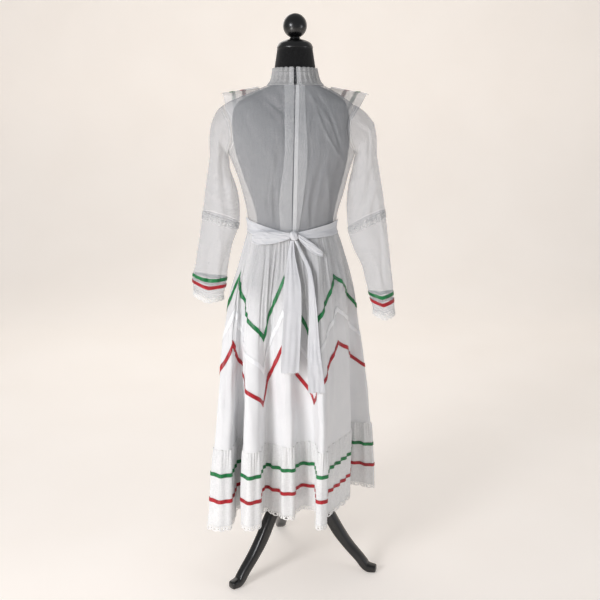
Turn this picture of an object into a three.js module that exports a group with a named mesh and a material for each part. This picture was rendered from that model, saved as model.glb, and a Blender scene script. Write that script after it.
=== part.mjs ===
// A white cotton folklorico dress with satin ribbons, on a limbless black dress form with a tripod.
// Millimetres, +Z up, the floor at z = 0. The dress faces -Y, and the wearer's left is +X.
// A turn is an angle in degrees round the body from centre back towards the wearer's right.
import * as THREE from "three";
import { mergeVertices } from "three/addons/utils/BufferGeometryUtils.js";

// Where the pole's axis lies, from the middle of the whole part's box
const ORIGIN = { x: -3, y: 20 };

// Cloth
const SEAM_GAP = 0.3; // between pieces that are sewn together
const COTTON = 1.2; // thickness of a cloth wall
const RIBBON = { wide: 11, thick: 0.7, lift: 0.6 }; // satin ribbon sewn on top of a panel
const SASH_THICK = 1.1;

// Heights from the floor
const WAIST_Z = 1047;
const SEAM_Z = 425; // seam of skirt and flounce
const FLOUNCE_BOTTOM_Z = 214;
const HEM_Z = 199; // edge of the lace

// Bodice sections: middle, half width and half depth of the cloth's outer face at each height
const BODICE = [
  { z: 1047, x: 9, wide: 125, deep: 97 },
  { z: 1096, x: 8, wide: 131, deep: 103 },
  { z: 1150, x: 6, wide: 145, deep: 112 },
  { z: 1205, x: 7, wide: 160, deep: 119 },
  { z: 1262, x: 10, wide: 180, deep: 121 },
  { z: 1305, x: 14, wide: 186, deep: 117 },
  { z: 1350, x: 17, wide: 187, deep: 106 },
  { z: 1392, x: 18, wide: 182, deep: 88 },
  { z: 1412, x: 11, wide: 150, deep: 81 },
  { z: 1430, x: 4, wide: 114, deep: 75 },
  { z: 1445, x: -1, wide: 82, deep: 70 },
];
const BODICE_ROWS = BODICE.map((row) => row.z);
const CHEST = { z: 1205, square: 0.87 }; // from here up the sections are this far from an ellipse
const ARMHOLE = { low: 1262, high: 1392, open: 34 }; // open: degrees left out on each side of the side line
const SEAM_TURN = 0.08; // degrees: half of the gap along side, shoulder and centre-back seams

// The centre-back opening: its line, and the two edges of the facing that covers it
const OPENING = [
  { z: 1047, x: 8, left: 40, right: -9 },
  { z: 1130, x: 6, left: 43, right: -22 },
  { z: 1250, x: 3, left: 28, right: -34 },
  { z: 1350, x: 1, left: 27, right: -30 },
  { z: 1445, x: -1, left: 28, right: -27 },
];

// Stand collar, open at centre back
const COLLAR_OPEN = 3;
const COLLAR = [
  { z: 1445.4, x: -1, wide: 81, deep: 69 },
  { z: 1460, x: -1, wide: 70, deep: 65 },
  { z: 1494, x: 0, wide: 61, deep: 59 },
];

// Skirt's mean sections, below the waist
const SKIRT = [
  { z: 199, x: 0, wide: 250, deep: 206 },
  { z: 425, x: 0, wide: 233, deep: 188 },
  { z: 560, x: 1, wide: 219, deep: 174 },
  { z: 722, x: 5, wide: 201, deep: 158 },
  { z: 853, x: 6, wide: 181, deep: 143 },
  { z: 910, x: 6, wide: 167, deep: 133 },
  { z: 967, x: 6, wide: 150, deep: 119 },
  { z: 1047, x: 9, wide: 125, deep: 97 },
];
const SKIRT_ROWS = [SEAM_Z + SEAM_GAP, 520, 620, 722, 815, 890, 967, WAIST_Z - SEAM_GAP];
const SKIRT_COLUMNS = 60;
const FOLD_GROWTH = 0.95; // how the folds deepen from waist to hem
const WAIST_GATHER = { deep: 2, from: 800 };
const HOLD = { freeZ: 560, least: 0.4, clear: 6 }; // how the form below keeps the folds from falling in
const SIDE_SHARE = 0.27; // where the wearer's right side seam lies, as a share of the hem
const HEM_TURN = -8; // where the hem's table starts
const FIRST_SHARE = 0.014; // where the skirt's first column lies

// The hem's line seen from above, one row for each bend of its folds
const HEM = [
  { x: 30, y: 134, part: "centre panel" },
  { x: 9, y: 139, part: "centre panel" },
  { x: 0, y: 112, part: "centre dip" },
  { x: -4, y: 84, part: "centre dip" },
  { x: -30, y: 69, part: "centre dip" },
  { x: -57, y: 76, part: "centre dip" },
  { x: -64, y: 128, part: "narrow fold" },
  { x: -62, y: 190, part: "narrow fold" },
  { x: -74, y: 206, part: "narrow fold" },
  { x: -88, y: 190, part: "narrow fold" },
  { x: -92, y: 132, part: "right panel" },
  { x: -128, y: 64, part: "right panel" },
  { x: -168, y: -20, part: "right panel" },
  { x: -166, y: -76, part: "right dip" },
  { x: -163, y: -120, part: "right dip" },
  { x: -205, y: -108, part: "right fold" },
  { x: -250, y: -88, part: "right fold" },
  { x: -244, y: -124, part: "right fold" },
  { x: -190, y: -146, part: "front dip 1" },
  { x: -196, y: -206, part: "front fold 1" },
  { x: -158, y: -212, part: "front fold 1" },
  { x: -118, y: -150, part: "front dip 2" },
  { x: -92, y: -226, part: "front fold 2" },
  { x: -48, y: -230, part: "front fold 2" },
  { x: -14, y: -162, part: "front dip 3" },
  { x: 22, y: -234, part: "front fold 3" },
  { x: 62, y: -228, part: "front fold 3" },
  { x: 88, y: -158, part: "front dip 4" },
  { x: 128, y: -218, part: "front fold 4" },
  { x: 166, y: -202, part: "front fold 4" },
  { x: 160, y: -134, part: "front dip 5" },
  { x: 218, y: -136, part: "left fold" },
  { x: 234, y: -96, part: "left fold" },
  { x: 190, y: -44, part: "left dip" },
  { x: 226, y: 4, part: "left side" },
  { x: 236, y: 70, part: "left side" },
  { x: 248, y: 140, part: "wide fold" },
  { x: 249, y: 194, part: "wide fold" },
  { x: 222, y: 208, part: "wide fold" },
  { x: 190, y: 204, part: "wide fold" },
  { x: 180, y: 140, part: "back dip" },
  { x: 172, y: 62, part: "back dip" },
  { x: 152, y: 66, part: "back dip" },
  { x: 153, y: 140, part: "second fold" },
  { x: 153, y: 194, part: "second fold" },
  { x: 129, y: 207, part: "second fold" },
  { x: 105, y: 194, part: "second fold" },
  { x: 100, y: 130, part: "third dip" },
  { x: 92, y: 84, part: "third dip" },
  { x: 60, y: 106, part: "centre panel" },
];

// Flounce
const FLOUNCE_COLUMNS = 120; // two to a gather
const FLOUNCE_ROWS = [FLOUNCE_BOTTOM_Z, 282, 362, SEAM_Z];
const GATHER = [
  { z: 199, deep: 2.6 },
  { z: 290, deep: 3.6 },
  { z: 395, deep: 3.4 },
  { z: 425, deep: 1.4 },
];
const FLOUNCE_RIBBONS = [
  { name: "flounce_ribbon_green", below: 71, colour: "green" },
  { name: "flounce_ribbon_red", below: 143, colour: "red" },
];
const EYELET = { wide: 0.5, high: 0.42 }; // share of a lace repeat that one eyelet takes

// Zigzags on the skirt, all with one depth, and the skirt's columns where they turn: peak, valley, peak
const ZIGZAG = { deep: 168, tall: 17, lift: 2.4 };
const ZIGZAG_TURNS = [-1, 3, 9, 20, 26, 31, 35, 43, 47, 56, 59];
const ZIGZAGS = [
  { name: "zigzag_green", peak: 915, colour: "green" },
  { name: "zigzag_white", peak: 820, colour: "white" },
  { name: "zigzag_red", peak: 722, colour: "red" },
];

// Sleeve rings below the armhole: centre, half width, half depth, and tilt up on the outer side.
// x is measured outwards on either side.
const SLEEVES = {
  left: [
    { ring: 1, x: 212, y: 2, z: 1294, half: 46, deep: 50, tilt: 62 },
    { ring: 2, x: 214, y: 3, z: 1232, half: 34, deep: 50, tilt: 30 },
    { ring: 3, x: 210, y: 5, z: 1160, half: 46, deep: 46, tilt: 12 },
    { ring: 4, x: 212, y: 6, z: 1080, half: 54, deep: 42, tilt: 18 },
    { ring: 5, x: 231, y: 7, z: 1005, half: 48, deep: 39, tilt: 8 },
    { ring: 6, x: 243, y: 8, z: 940, half: 47, deep: 36, tilt: 4 },
    { ring: 7, x: 250, y: 8, z: 885, half: 50, deep: 35, tilt: 4 },
    { ring: 8, x: 254, y: 8, z: 843, half: 44, deep: 33, tilt: 2 },
  ],
  right: [
    { ring: 1, x: 196, y: 2, z: 1296, half: 48, deep: 50, tilt: 60 },
    { ring: 2, x: 198, y: 3, z: 1232, half: 41, deep: 50, tilt: 28 },
    { ring: 3, x: 199, y: 5, z: 1160, half: 49, deep: 46, tilt: 10 },
    { ring: 4, x: 204, y: 6, z: 1075, half: 58, deep: 43, tilt: 26 },
    { ring: 5, x: 219, y: 7, z: 1000, half: 52, deep: 39, tilt: 10 },
    { ring: 6, x: 237, y: 8, z: 935, half: 42, deep: 36, tilt: 4 },
    { ring: 7, x: 248, y: 8, z: 865, half: 38, deep: 34, tilt: 0 },
    { ring: 8, x: 261, y: 8, z: 792, half: 32, deep: 31, tilt: -4 },
  ],
};
const SLEEVE_COLUMNS = 16;
const SLEEVE_SET = 2; // how far the sleeve's seam stands off the armhole
const ELBOW_RING = 4; // the ring that carries the elbow's lace
const ELBOW_LACE = 0.26; // how much of the next ring's spacing the lace covers
const CUFF_RIBBONS = [{ colour: "green", above: 54 }, { colour: "red", above: 32 }];
const SLEEVE_GATHER = { head: 5, top: 0.3, elbow: 2.2, rings: 1.5 };
const CUFF_LACE = { deep: 14, flare: 0.06 };
const CUFF_RISE = { from: 5.5, left: { outer: 20, inner: 9 }, right: { outer: 14, inner: 12 } }; // at its sides

// Ruffle across the front yoke and over both shoulders
const YOKE = {
  low: 1300, high: 1438, half: 96, wide: 104, columns: 24, closer: 1.5,
  wave: 5, flare: 0.14, set: 1.8, rise: 3.5, lift: 1.3, shoulderWay: [-0.12, -0.36],
  ribbons: [{ colour: "red", share: 0.43 }, { colour: "green", share: 0.72 }],
};

// Sash and bow
const SASH = {
  half: 19, side: 86, sideZ: { left: 1062, right: 1055 }, knotTurn: 6.5, stand: { left: 3.55, right: 2.8 },
};
const BOW = { x: 3, y: 108.8, z: 1036, half: 11, deep: 9 };
const LOOP = { half: 2.96, fromKnot: 0.5 };
const LOOPS = {
  left: { reach: 116, drop: -8, start: 8, tip: 16, back: -7 },
  right: { reach: -80, drop: -52, start: 5, tip: 8, back: -6 },
};
const TAIL_CLEAR = 6; // between a tail and the skirt behind it
const TAIL_CURL = 2.5;
const TAILS = {
  left: [
    { z: 1023, x: 8, half: 5, twist: 0 },
    { z: 985, x: 10, half: 10, twist: 0 },
    { z: 945, x: 8, half: 16, twist: 3 },
    { z: 898, x: 7, half: 24, twist: 4 },
    { z: 830, x: 8, half: 25, twist: 4 },
    { z: 740, x: 11, half: 26, twist: 3 },
    { z: 650, x: 13, half: 26, twist: 2 },
  ],
  right: [
    { z: 1023, x: -2, half: 4, twist: 0 },
    { z: 985, x: -20, half: 6, twist: -30 },
    { z: 940, x: -40, half: 9, twist: -50 },
    { z: 870, x: -47, half: 12, twist: -40 },
    { z: 790, x: -52, half: 14, twist: -25 },
    { z: 700, x: -55, half: 19, twist: -8 },
    { z: 600, x: -60, half: 24, twist: 4 },
  ],
};

// Dress form and stand
const FORM = [
  { z: 838, x: 0, wide: 132, deep: 98 },
  { z: 870, x: 0, wide: 146, deep: 110 },
  { z: 940, x: 0, wide: 133, deep: 102 },
  { z: 1050, x: 0, wide: 110, deep: 86 },
  { z: 1110, x: 1, wide: 118, deep: 91 },
  { z: 1200, x: 5, wide: 145, deep: 105 },
  { z: 1270, x: 9, wide: 162, deep: 105 },
  { z: 1340, x: 11, wide: 167, deep: 93 },
  { z: 1392, x: 11, wide: 158, deep: 75 },
  { z: 1412, x: 6, wide: 136, deep: 73 },
  { z: 1430, x: 2, wide: 104, deep: 69 },
  { z: 1445, x: 0, wide: 70, deep: 64 },
  { z: 1452, x: 0, wide: 64, deep: 61 },
];
const NECK = [
  { z: 1494, wide: 57 },
  { z: 1545, wide: 49 },
];
const CAP_TOP_Z = 1571;
const KNOB = { radius: 33, topZ: 1640 };
const POLE = { radius: 13 };
const HUB = { radius: 30, bottomZ: 214, topZ: 296 };
const LEG = {
  angles: [43, 163, 283],
  corners: [[1, 0.45], [0.6, 1], [-0.6, 1], [-1, 0.45], [-1, -0.45], [-0.6, -1], [0.6, -1], [1, -0.45]],
};
const LEG_PATH = [
  { out: 30.4, z: 254, thick: 20, half: 12 },
  { out: 68, z: 226, thick: 19, half: 15 },
  { out: 106, z: 172, thick: 18, half: 17 },
  { out: 136, z: 122, thick: 18, half: 17 },
  { out: 170, z: 78, thick: 15, half: 17 },
  { out: 204, z: 42, thick: 14, half: 16 },
  { out: 230, z: 14, thick: 14, half: 16 },
  { out: 254, z: 11, thick: 11, half: 14 },
];

const COLOURS = {
  cotton: { color: "#eeeeee", roughness: 0.9 },
  lace: { color: "#f6f5f2", roughness: 0.85 },
  white: { color: "#ffffff", roughness: 0.35 },
  green: { color: "#0f8a45", roughness: 0.4 },
  red: { color: "#c8202c", roughness: 0.4 },
  jersey: { color: "#0b0b0c", roughness: 0.9 },
  wood: { color: "#090909", roughness: 0.25 },
};

const DEG = Math.PI / 180;
const clamp = THREE.MathUtils.clamp;
const up = new THREE.Vector3(0, 0, 1);
const vec = (x, y, z) => new THREE.Vector3(x, y, z);
const dress = new THREE.Group();
dress.position.set(ORIGIN.x, ORIGIN.y, 0);

function add(name, geometry, finish) {
  const mesh = new THREE.Mesh(geometry, new THREE.MeshStandardMaterial(COLOURS[finish]));
  mesh.name = name;
  dress.add(mesh);
}

// A smooth value of one column of a table, read at a place along its key column.
function read(table, key, column, at) {
  let i = 0;
  while (i < table.length - 2 && at > table[i + 1][key]) i++;
  const row = (k) => table[clamp(k, 0, table.length - 1)];
  const [p, a, b, q] = [row(i - 1), row(i), row(i + 1), row(i + 2)];
  const span = b[key] - a[key];
  const t = clamp((at - a[key]) / span, 0, 1);
  const inSlope = ((b[column] - p[column]) / (b[key] - p[key])) * span;
  const outSlope = ((q[column] - a[column]) / (q[key] - a[key])) * span;
  const [t2, t3] = [t * t, t * t * t];
  return (2 * t3 - 3 * t2 + 1) * a[column] + (t3 - 2 * t2 + t) * inSlope +
    (3 * t2 - 2 * t3) * b[column] + (t3 - t2) * outSlope;
}

// A closed body from its points and faces, turned so that its faces point out.
function body(points, faces) {
  let volume = 0;
  for (const [a, b, c] of faces) volume += points[a].dot(points[b].clone().cross(points[c]));
  const index = faces.flatMap(([a, b, c]) => (volume < 0 ? [a, c, b] : [a, b, c]));
  const geometry = new THREE.BufferGeometry().setFromPoints(points);
  geometry.setIndex(index);
  geometry.computeVertexNormals();
  return geometry;
}

// A sheet is a grid of points with an outward normal at each; a ring closes round its columns.
function sheet(rows, columns, place, { ring = false, core = null, level = false, normalAt = null } = {}) {
  const count = ring ? columns : columns + 1;
  const points = rows.map((row) => Array.from({ length: count }, (_, i) => place(i, row)));
  const normals = points.map((line, j) => line.map((_, i) => {
    if (normalAt) return normalAt(i, rows[j]);
    const next = ring ? line[(i + 1) % count] : line[Math.min(i + 1, count - 1)];
    const last = ring ? line[(i + count - 1) % count] : line[Math.max(i - 1, 0)];
    const above = points[Math.min(j + 1, points.length - 1)][i];
    const below = points[Math.max(j - 1, 0)][i];
    const rise = level ? up : above.clone().sub(below);
    return next.clone().sub(last).cross(rise).normalize();
  }));
  const centre = core ?? ((point) => vec(0, 0, point.z));
  let facing = 0;
  points.forEach((line, j) => line.forEach((point, i) => {
    facing += normals[j][i].dot(point.clone().sub(centre(point, j)));
  }));
  if (facing < 0) normals.flat().forEach((normal) => normal.negate());
  return { points, normals, ring, count };
}

const moved = ({ points, normals }, j, i, by) => points[j][i].clone().addScaledVector(normals[j][i], by);

// The wall between two distances from a sheet, with an eyelet in each cell where one is asked for.
function wall(cloth, inner, outer, eyelet = null) {
  const { points, ring, count } = cloth;
  const rows = points.length;
  const out = [];
  const faces = [];
  for (const by of [outer, inner])
    for (let j = 0; j < rows; j++)
      for (let i = 0; i < count; i++) out.push(moved(cloth, j, i, by));
  const at = (side, j, i) => (side * rows + j) * count + (i % count);
  const quad = (a, b, c, d) => faces.push([a, b, c], [a, c, d]);
  const cells = ring ? count : count - 1;
  const cell = (j, i) => {
    const corners = [0, 1].map((side) =>
      [at(side, j, i), at(side, j, i + 1), at(side, j + 1, i + 1), at(side, j + 1, i)]);
    if (!eyelet) {
      quad(...corners[0]);
      const [a, b, c, d] = corners[1];
      quad(a, d, c, b); // split along the outer face's own diagonal, so that the two never meet
      return;
    }
    const hole = corners.map((ids) => eyeletRim(out, ids, eyelet));
    for (let k = 0; k < 4; k++) {
      const n = (k + 1) % 4;
      quad(corners[0][k], corners[0][n], hole[0][n], hole[0][k]);
      quad(corners[1][n], corners[1][k], hole[1][k], hole[1][n]);
      quad(hole[0][k], hole[0][n], hole[1][n], hole[1][k]);
    }
  };
  for (let j = 0; j < rows - 1; j++) for (let i = 0; i < cells; i++) cell(j, i);
  for (let i = 0; i < cells; i++) {
    quad(at(0, 0, i + 1), at(0, 0, i), at(1, 0, i), at(1, 0, i + 1));
    quad(at(0, rows - 1, i), at(0, rows - 1, i + 1), at(1, rows - 1, i + 1), at(1, rows - 1, i));
  }
  if (!ring)
    for (let j = 0; j < rows - 1; j++) {
      quad(at(0, j, 0), at(0, j + 1, 0), at(1, j + 1, 0), at(1, j, 0));
      quad(at(0, j + 1, cells), at(0, j, cells), at(1, j, cells), at(1, j + 1, cells));
    }
  return body(out, faces);
}

// Four points round an eyelet in the middle of a cell, added to the list; returns their places in it.
function eyeletRim(list, [a, b, c, d], { wide, high }) {
  return [[-1, -1], [1, -1], [1, 1], [-1, 1]].map(([across, upward]) => {
    const u = 0.5 + (across * wide) / 2;
    const v = 0.5 + (upward * high) / 2;
    const low = list[a].clone().lerp(list[b], u);
    const top = list[d].clone().lerp(list[c], u);
    return list.push(low.lerp(top, v)) - 1;
  });
}

// A place on one of a sheet's columns, by row number and fraction.
function onSheet({ points, normals }, i, row) {
  const j = clamp(Math.floor(row), 0, points.length - 2);
  const mix = (grid) => grid[j][i].clone().lerp(grid[j + 1][i], row - j);
  return { point: mix(points), normal: mix(normals).normalize() };
}

// A ribbon sewn on a sheet, its edges given as a row number for each column.
function ribbon(cloth, low, high, lift = RIBBON.lift) {
  const lines = [low, high].map((edge) => cloth.points[0].map((_, i) => onSheet(cloth, i, edge(i))));
  const points = lines.map((line) => line.map(({ point }) => point));
  const normals = lines.map((line) => line.map(({ normal }) => normal));
  return wall({ ...cloth, points, normals }, lift, lift + RIBBON.thick);
}

// Some of a ring's columns as an open sheet, its last column drawn back by a seam's gap.
function arc(cloth, from, to) {
  const some = (grid) => grid.map((line) =>
    Array.from({ length: to - from + 1 }, (_, i) => line[(from + i) % cloth.count].clone()));
  const [points, normals] = [cloth.points, cloth.normals].map(some);
  for (const line of points) {
    const [last, end] = line.slice(-2);
    end.lerp(last, SEAM_GAP / end.distanceTo(last));
  }
  return { points, normals, ring: false, count: to - from + 1 };
}

// How far a section is from an ellipse: 1 is an ellipse, less is squarer.
const squareness = (z) =>
  THREE.MathUtils.lerp(1, CHEST.square, THREE.MathUtils.smoothstep(z, WAIST_Z, CHEST.z));

function section(table, turn, z, power = 1) {
  const shape = (v) => Math.sign(v) * Math.abs(v) ** power;
  const [wide, deep] = ["wide", "deep"].map((column) => read(table, "z", column, z));
  const x = table[0].x === undefined ? 0 : read(table, "z", "x", z);
  return vec(x - wide * shape(Math.sin(turn * DEG)), deep * shape(Math.cos(turn * DEG)), z);
}

const bodicePoint = (turn, z) => section(BODICE, turn, z, squareness(z));

function bodiceNormal(turn, z) {
  const [around, height] = [2, 4];
  const across = bodicePoint(turn + around, z).sub(bodicePoint(turn - around, z));
  const rise = bodicePoint(turn, z + height).sub(bodicePoint(turn, z - height));
  return across.cross(rise).normalize();
}

// A piece of the bodice between two turns, each a function of height.
function bodiceSheet(columns, from, to) {
  const turn = (i, z) => THREE.MathUtils.lerp(from(z), to(z), i / columns);
  return sheet(BODICE_ROWS, columns, (i, z) => bodicePoint(turn(i, z), z), {
    normalAt: (i, z) => bodiceNormal(turn(i, z), z),
  });
}

// The turn at which the bodice meets one of the opening's lines.
function openingTurn(line, z) {
  const [middle, wide] = ["x", "wide"].map((column) => read(BODICE, "z", column, z));
  const share = (middle - read(OPENING, "z", line, z)) / wide;
  return (Math.sign(share) * Math.asin(Math.abs(share) ** (1 / squareness(z)))) / DEG;
}

// The share of the armhole's width that is open at a height.
function armholeShare(z) {
  const middle = (ARMHOLE.low + ARMHOLE.high) / 2;
  const rise = (z - middle) / (ARMHOLE.high - middle);
  return Math.abs(rise) >= 1 ? 0 : Math.sqrt(1 - rise * rise);
}

function bodice() {
  const edge = (z) => 90 - SEAM_TURN - ARMHOLE.open * armholeShare(z);
  const back = bodiceSheet(6, (z) => openingTurn("x", z) + SEAM_TURN, edge);
  const otherBack = bodiceSheet(6, (z) => openingTurn("x", z) - SEAM_TURN, (z) => -edge(z));
  const front = bodiceSheet(12, (z) => 180 - edge(z), (z) => 180 + edge(z));
  add("back_right", wall(back, -COTTON, 0), "cotton");
  add("back_left", wall(otherBack, -COTTON, 0), "cotton");
  add("front_bodice", wall(front, -COTTON, 0), "cotton");
  const lines = ["left", "x", "right"];
  const facing = sheet(BODICE_ROWS, 2, (i, z) => bodicePoint(openingTurn(lines[i], z), z), {
    normalAt: (i, z) => bodiceNormal(openingTurn(lines[i], z), z),
  });
  add("zip_facing", wall(facing, RIBBON.lift, RIBBON.lift + COTTON), "cotton");
}

function collar() {
  const columns = 20;
  const turn = (i) => THREE.MathUtils.lerp(COLLAR_OPEN, 360 - COLLAR_OPEN, i / columns);
  const cloth = sheet(COLLAR.map((row) => row.z), columns, (i, z) => section(COLLAR, turn(i), z));
  add("collar_lace", wall(cloth, -COTTON, 0), "lace");
}

const hemCurve = new THREE.CatmullRomCurve3(HEM.map(({ x, y }) => vec(x, y, 0)), true, "centripetal");
hemCurve.arcLengthDivisions = 1000;

// A point of the skirt, flounce or lace; share runs once round the hem from the centre panel.
function skirtPoint(share, z) {
  const turn = share * 360 + HEM_TURN;
  const growth = ((WAIST_Z - z) / (WAIST_Z - HEM_Z)) ** FOLD_GROWTH;
  const fold = hemCurve.getPointAt(((share % 1) + 1) % 1).sub(section(SKIRT, turn, HEM_Z).setZ(0));
  const point = section(SKIRT, turn, z).addScaledVector(fold, growth);
  const hold = THREE.MathUtils.lerp(HOLD.least, 1, THREE.MathUtils.smoothstep(z, HOLD.freeZ, FORM[0].z));
  const [wide, deep] = ["wide", "deep"].map((column) => (read(FORM, "z", column, z) + HOLD.clear) * hold);
  const inside = Math.hypot(point.x / wide, point.y / deep);
  return inside < 1 ? point.multiply(vec(1 / inside, 1 / inside, 1)) : point;
}

// The two panels of a ring, split at the side seams.
function panels(cloth, name, finish, eyelet = null) {
  const side = Math.round(cloth.count * SIDE_SHARE);
  const half = cloth.count / 2;
  add(name + "_front", wall(arc(cloth, side, side + half), -COTTON, 0, eyelet), finish);
  add(name + "_back", wall(arc(cloth, side + half, side + 2 * half), -COTTON, 0, eyelet), finish);
}

const skirt = sheet(SKIRT_ROWS, SKIRT_COLUMNS, (i, z) => {
  const point = skirtPoint(i / SKIRT_COLUMNS + FIRST_SHARE, z);
  const grown = THREE.MathUtils.smoothstep(z, WAIST_GATHER.from, WAIST_Z);
  const depth = WAIST_GATHER.deep * grown * (i % 2 ? -1 : 1);
  return point.add(vec(point.x, point.y, 0).normalize().multiplyScalar(depth));
}, { ring: true, level: true });

function flounceSheet(rows) {
  const flat = (i, z) => skirtPoint(i / FLOUNCE_COLUMNS + FIRST_SHARE, z);
  return sheet(rows, FLOUNCE_COLUMNS, (i, z) => {
    const out = flat(i + 1, z).sub(flat(i - 1, z)).cross(up).normalize();
    const wave = read(GATHER, "z", "deep", z) * (i % 2 ? -1 : 1);
    return flat(i, z).addScaledVector(out, wave);
  }, { ring: true, level: true });
}

// Where a height lies among a list of heights, as a row number with its fraction.
function rowOf(heights, z) {
  const j = clamp(heights.findIndex((height) => height > z) - 1, 0, heights.length - 2);
  return j + (z - heights[j]) / (heights[j + 1] - heights[j]);
}

function flounce() {
  const cloth = flounceSheet(FLOUNCE_ROWS);
  panels(cloth, "flounce", "cotton");
  for (const { name, below, colour } of FLOUNCE_RIBBONS) {
    const row = (side) => rowOf(FLOUNCE_ROWS, SEAM_Z - below + (side * RIBBON.wide) / 2);
    add(name, ribbon(cloth, () => row(-1), () => row(1)), colour);
  }
  panels(flounceSheet([HEM_Z, FLOUNCE_BOTTOM_Z - SEAM_GAP]), "hem_lace", "lace", EYELET);
}

// The three ribbons that run in zigzags round the skirt, laid on its own columns.
function zigzags() {
  panels(skirt, "skirt", "cotton");
  const dropAt = (i) => {
    const k = ZIGZAG_TURNS.findIndex((turn) => turn > i) - 1;
    if (k < 0) return 0;
    const [from, to] = ZIGZAG_TURNS.slice(k, k + 2);
    const share = (i - from) / (to - from);
    return ZIGZAG.deep * (k % 2 ? 1 - share : share);
  };
  for (const { name, peak, colour } of ZIGZAGS) {
    const edge = (i, side) => rowOf(SKIRT_ROWS, peak - dropAt(i) + (side * ZIGZAG.tall) / 2);
    add(name, ribbon(skirt, (i) => edge(i, -1), (i) => edge(i, 1), ZIGZAG.lift), colour);
  }
}

// A sleeve's point: ring 0 is the armhole, rings 1 to 8 the table's, and past 8 the cuff's lace.
function sleevePoint(side, i, ring) {
  const sign = side === "left" ? 1 : -1;
  const angle = (i / SLEEVE_COLUMNS) * 2 * Math.PI;
  const [c, s] = [Math.cos(angle), Math.sin(angle)];
  if (ring === 0) {
    const z = (ARMHOLE.high + ARMHOLE.low) / 2 + ((ARMHOLE.high - ARMHOLE.low) / 2) * c;
    const turn = -sign * (90 - ARMHOLE.open * s);
    return bodicePoint(turn, z).addScaledVector(bodiceNormal(turn, z), SLEEVE_SET);
  }
  const at = (column) => read(SLEEVES[side], "ring", column, Math.min(ring, 8));
  const { head, top, elbow, rings } = SLEEVE_GATHER;
  const gathered = Math.max(0, 1 - Math.abs(ring - 1)) * head * Math.max(0, c + top) +
    Math.max(0, 1 - Math.abs(ring - ELBOW_RING) / rings) * elbow;
  const wave = gathered * (i % 2 ? -1 : 1);
  const past = Math.max(0, ring - 8);
  const flare = 1 + past * CUFF_LACE.flare;
  const half = (at("half") * flare + wave) * c;
  const tilt = at("tilt") * DEG;
  const x = at("x") + half * Math.cos(tilt);
  const rise = Math.max(CUFF_RISE[side].outer * c, -CUFF_RISE[side].inner * c) *
    THREE.MathUtils.smoothstep(ring, CUFF_RISE.from, 8);
  const z = at("z") + half * Math.sin(tilt) - past * CUFF_LACE.deep + rise;
  return vec(sign * x, at("y") + (at("deep") * flare + wave) * s, z);
}

function sleeves() {
  for (const side of ["left", "right"]) {
    const tube = (rings) => sheet(rings, SLEEVE_COLUMNS, (i, ring) => sleevePoint(side, i, ring), {
      ring: true, core: (_, j) => sleeveMiddle(side, clamp(rings[j], 1, 8)),
    });
    const step = 0.006; // share of a ring's spacing that leaves a seam's gap
    add("upper_sleeve_" + side, wall(tube([0, 1, 2, 3, ELBOW_RING - step]), -COTTON, 0), "cotton");
    const lower = tube([ELBOW_RING + step, 5, 6, 7, 8]);
    add("lower_sleeve_" + side, wall(lower, -COTTON, 0), "cotton");
    const heights = [ELBOW_RING, 5, 6, 7, 8].map((ring) => -read(SLEEVES[side], "ring", "z", ring));
    for (const { colour, above } of CUFF_RIBBONS) {
      const z = -(read(SLEEVES[side], "ring", "z", 8) + above);
      const row = (way) => rowOf(heights, z + (way * RIBBON.wide) / 2);
      add(`cuff_${colour}_${side}`, ribbon(lower, () => row(-1), () => row(1)), colour);
    }
    const cuff = tube([8.03, 9]);
    const half = SLEEVE_COLUMNS / 2;
    add("cuff_lace_back_" + side, wall(arc(cuff, 0, half), -COTTON, 0, EYELET), "lace");
    add("cuff_lace_front_" + side, wall(arc(cuff, half, 2 * half), -COTTON, 0, EYELET), "lace");
    add("elbow_lace_" + side, ribbon(lower, () => 0.02, () => ELBOW_LACE, 0.9), "lace");
  }
}

function sleeveMiddle(side, ring) {
  const [x, y, z] = ["x", "y", "z"].map((column) => read(SLEEVES[side], "ring", column, ring));
  return vec(side === "left" ? x : -x, y, z);
}

// The yoke's ruffle: its seam is a U on the front that starts and ends on the shoulders.
function yoke() {
  const seam = (t) => {
    const z = YOKE.low + (YOKE.high - YOKE.low) * (1 - Math.cos((t * Math.PI) / 2));
    const wide = read(BODICE, "z", "wide", z);
    const out = Math.min(1, (YOKE.half * Math.sin((Math.abs(t) * Math.PI) / 2) ** 0.8) / wide);
    const turn = 180 + Math.sign(t) * (Math.asin(out ** (1 / squareness(z))) / DEG);
    return { turn: Math.abs(t) > 0.99 ? 180 + Math.sign(t) * 90 : turn, z };
  };
  const place = (i, w) => {
    const even = (i / YOKE.columns) * 2 - 1;
    const t = Math.sign(even) * (1 - (1 - Math.abs(even)) ** YOKE.closer);
    const { turn, z } = seam(t);
    const normal = bodiceNormal(turn, z);
    const rise = YOKE.rise * THREE.MathUtils.smoothstep(Math.abs(t), 0.7, 0.96);
    const start = bodicePoint(turn, z).addScaledVector(normal, YOKE.set + rise);
    const down = bodicePoint(turn, z - 40).sub(bodicePoint(turn, z)).normalize();
    const side = vec(Math.sign(t), ...YOKE.shoulderWay);
    const share = Math.abs(t) ** 2.5;
    const way = down.multiplyScalar(1 - share).addScaledVector(side, share).normalize();
    way.addScaledVector(normal, YOKE.flare);
    const wave = YOKE.wave * w * (i % 2 ? 1.6 : 0.4);
    return start.addScaledVector(way, YOKE.wide * w).addScaledVector(normal, wave);
  };
  const cloth = sheet([0, 0.5, 1], YOKE.columns, place, { core: (point) => vec(0, 0, point.z - 60) });
  add("yoke_ruffle", wall(cloth, -COTTON, 0), "cotton");
  for (const { colour, share } of YOKE.ribbons) {
    const half = RIBBON.wide / 2 / YOKE.wide;
    const edge = (side) => () => (share + side * half) * 2;
    add("yoke_" + colour, ribbon(cloth, edge(-1), edge(1), YOKE.lift), colour);
  }
}

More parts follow.
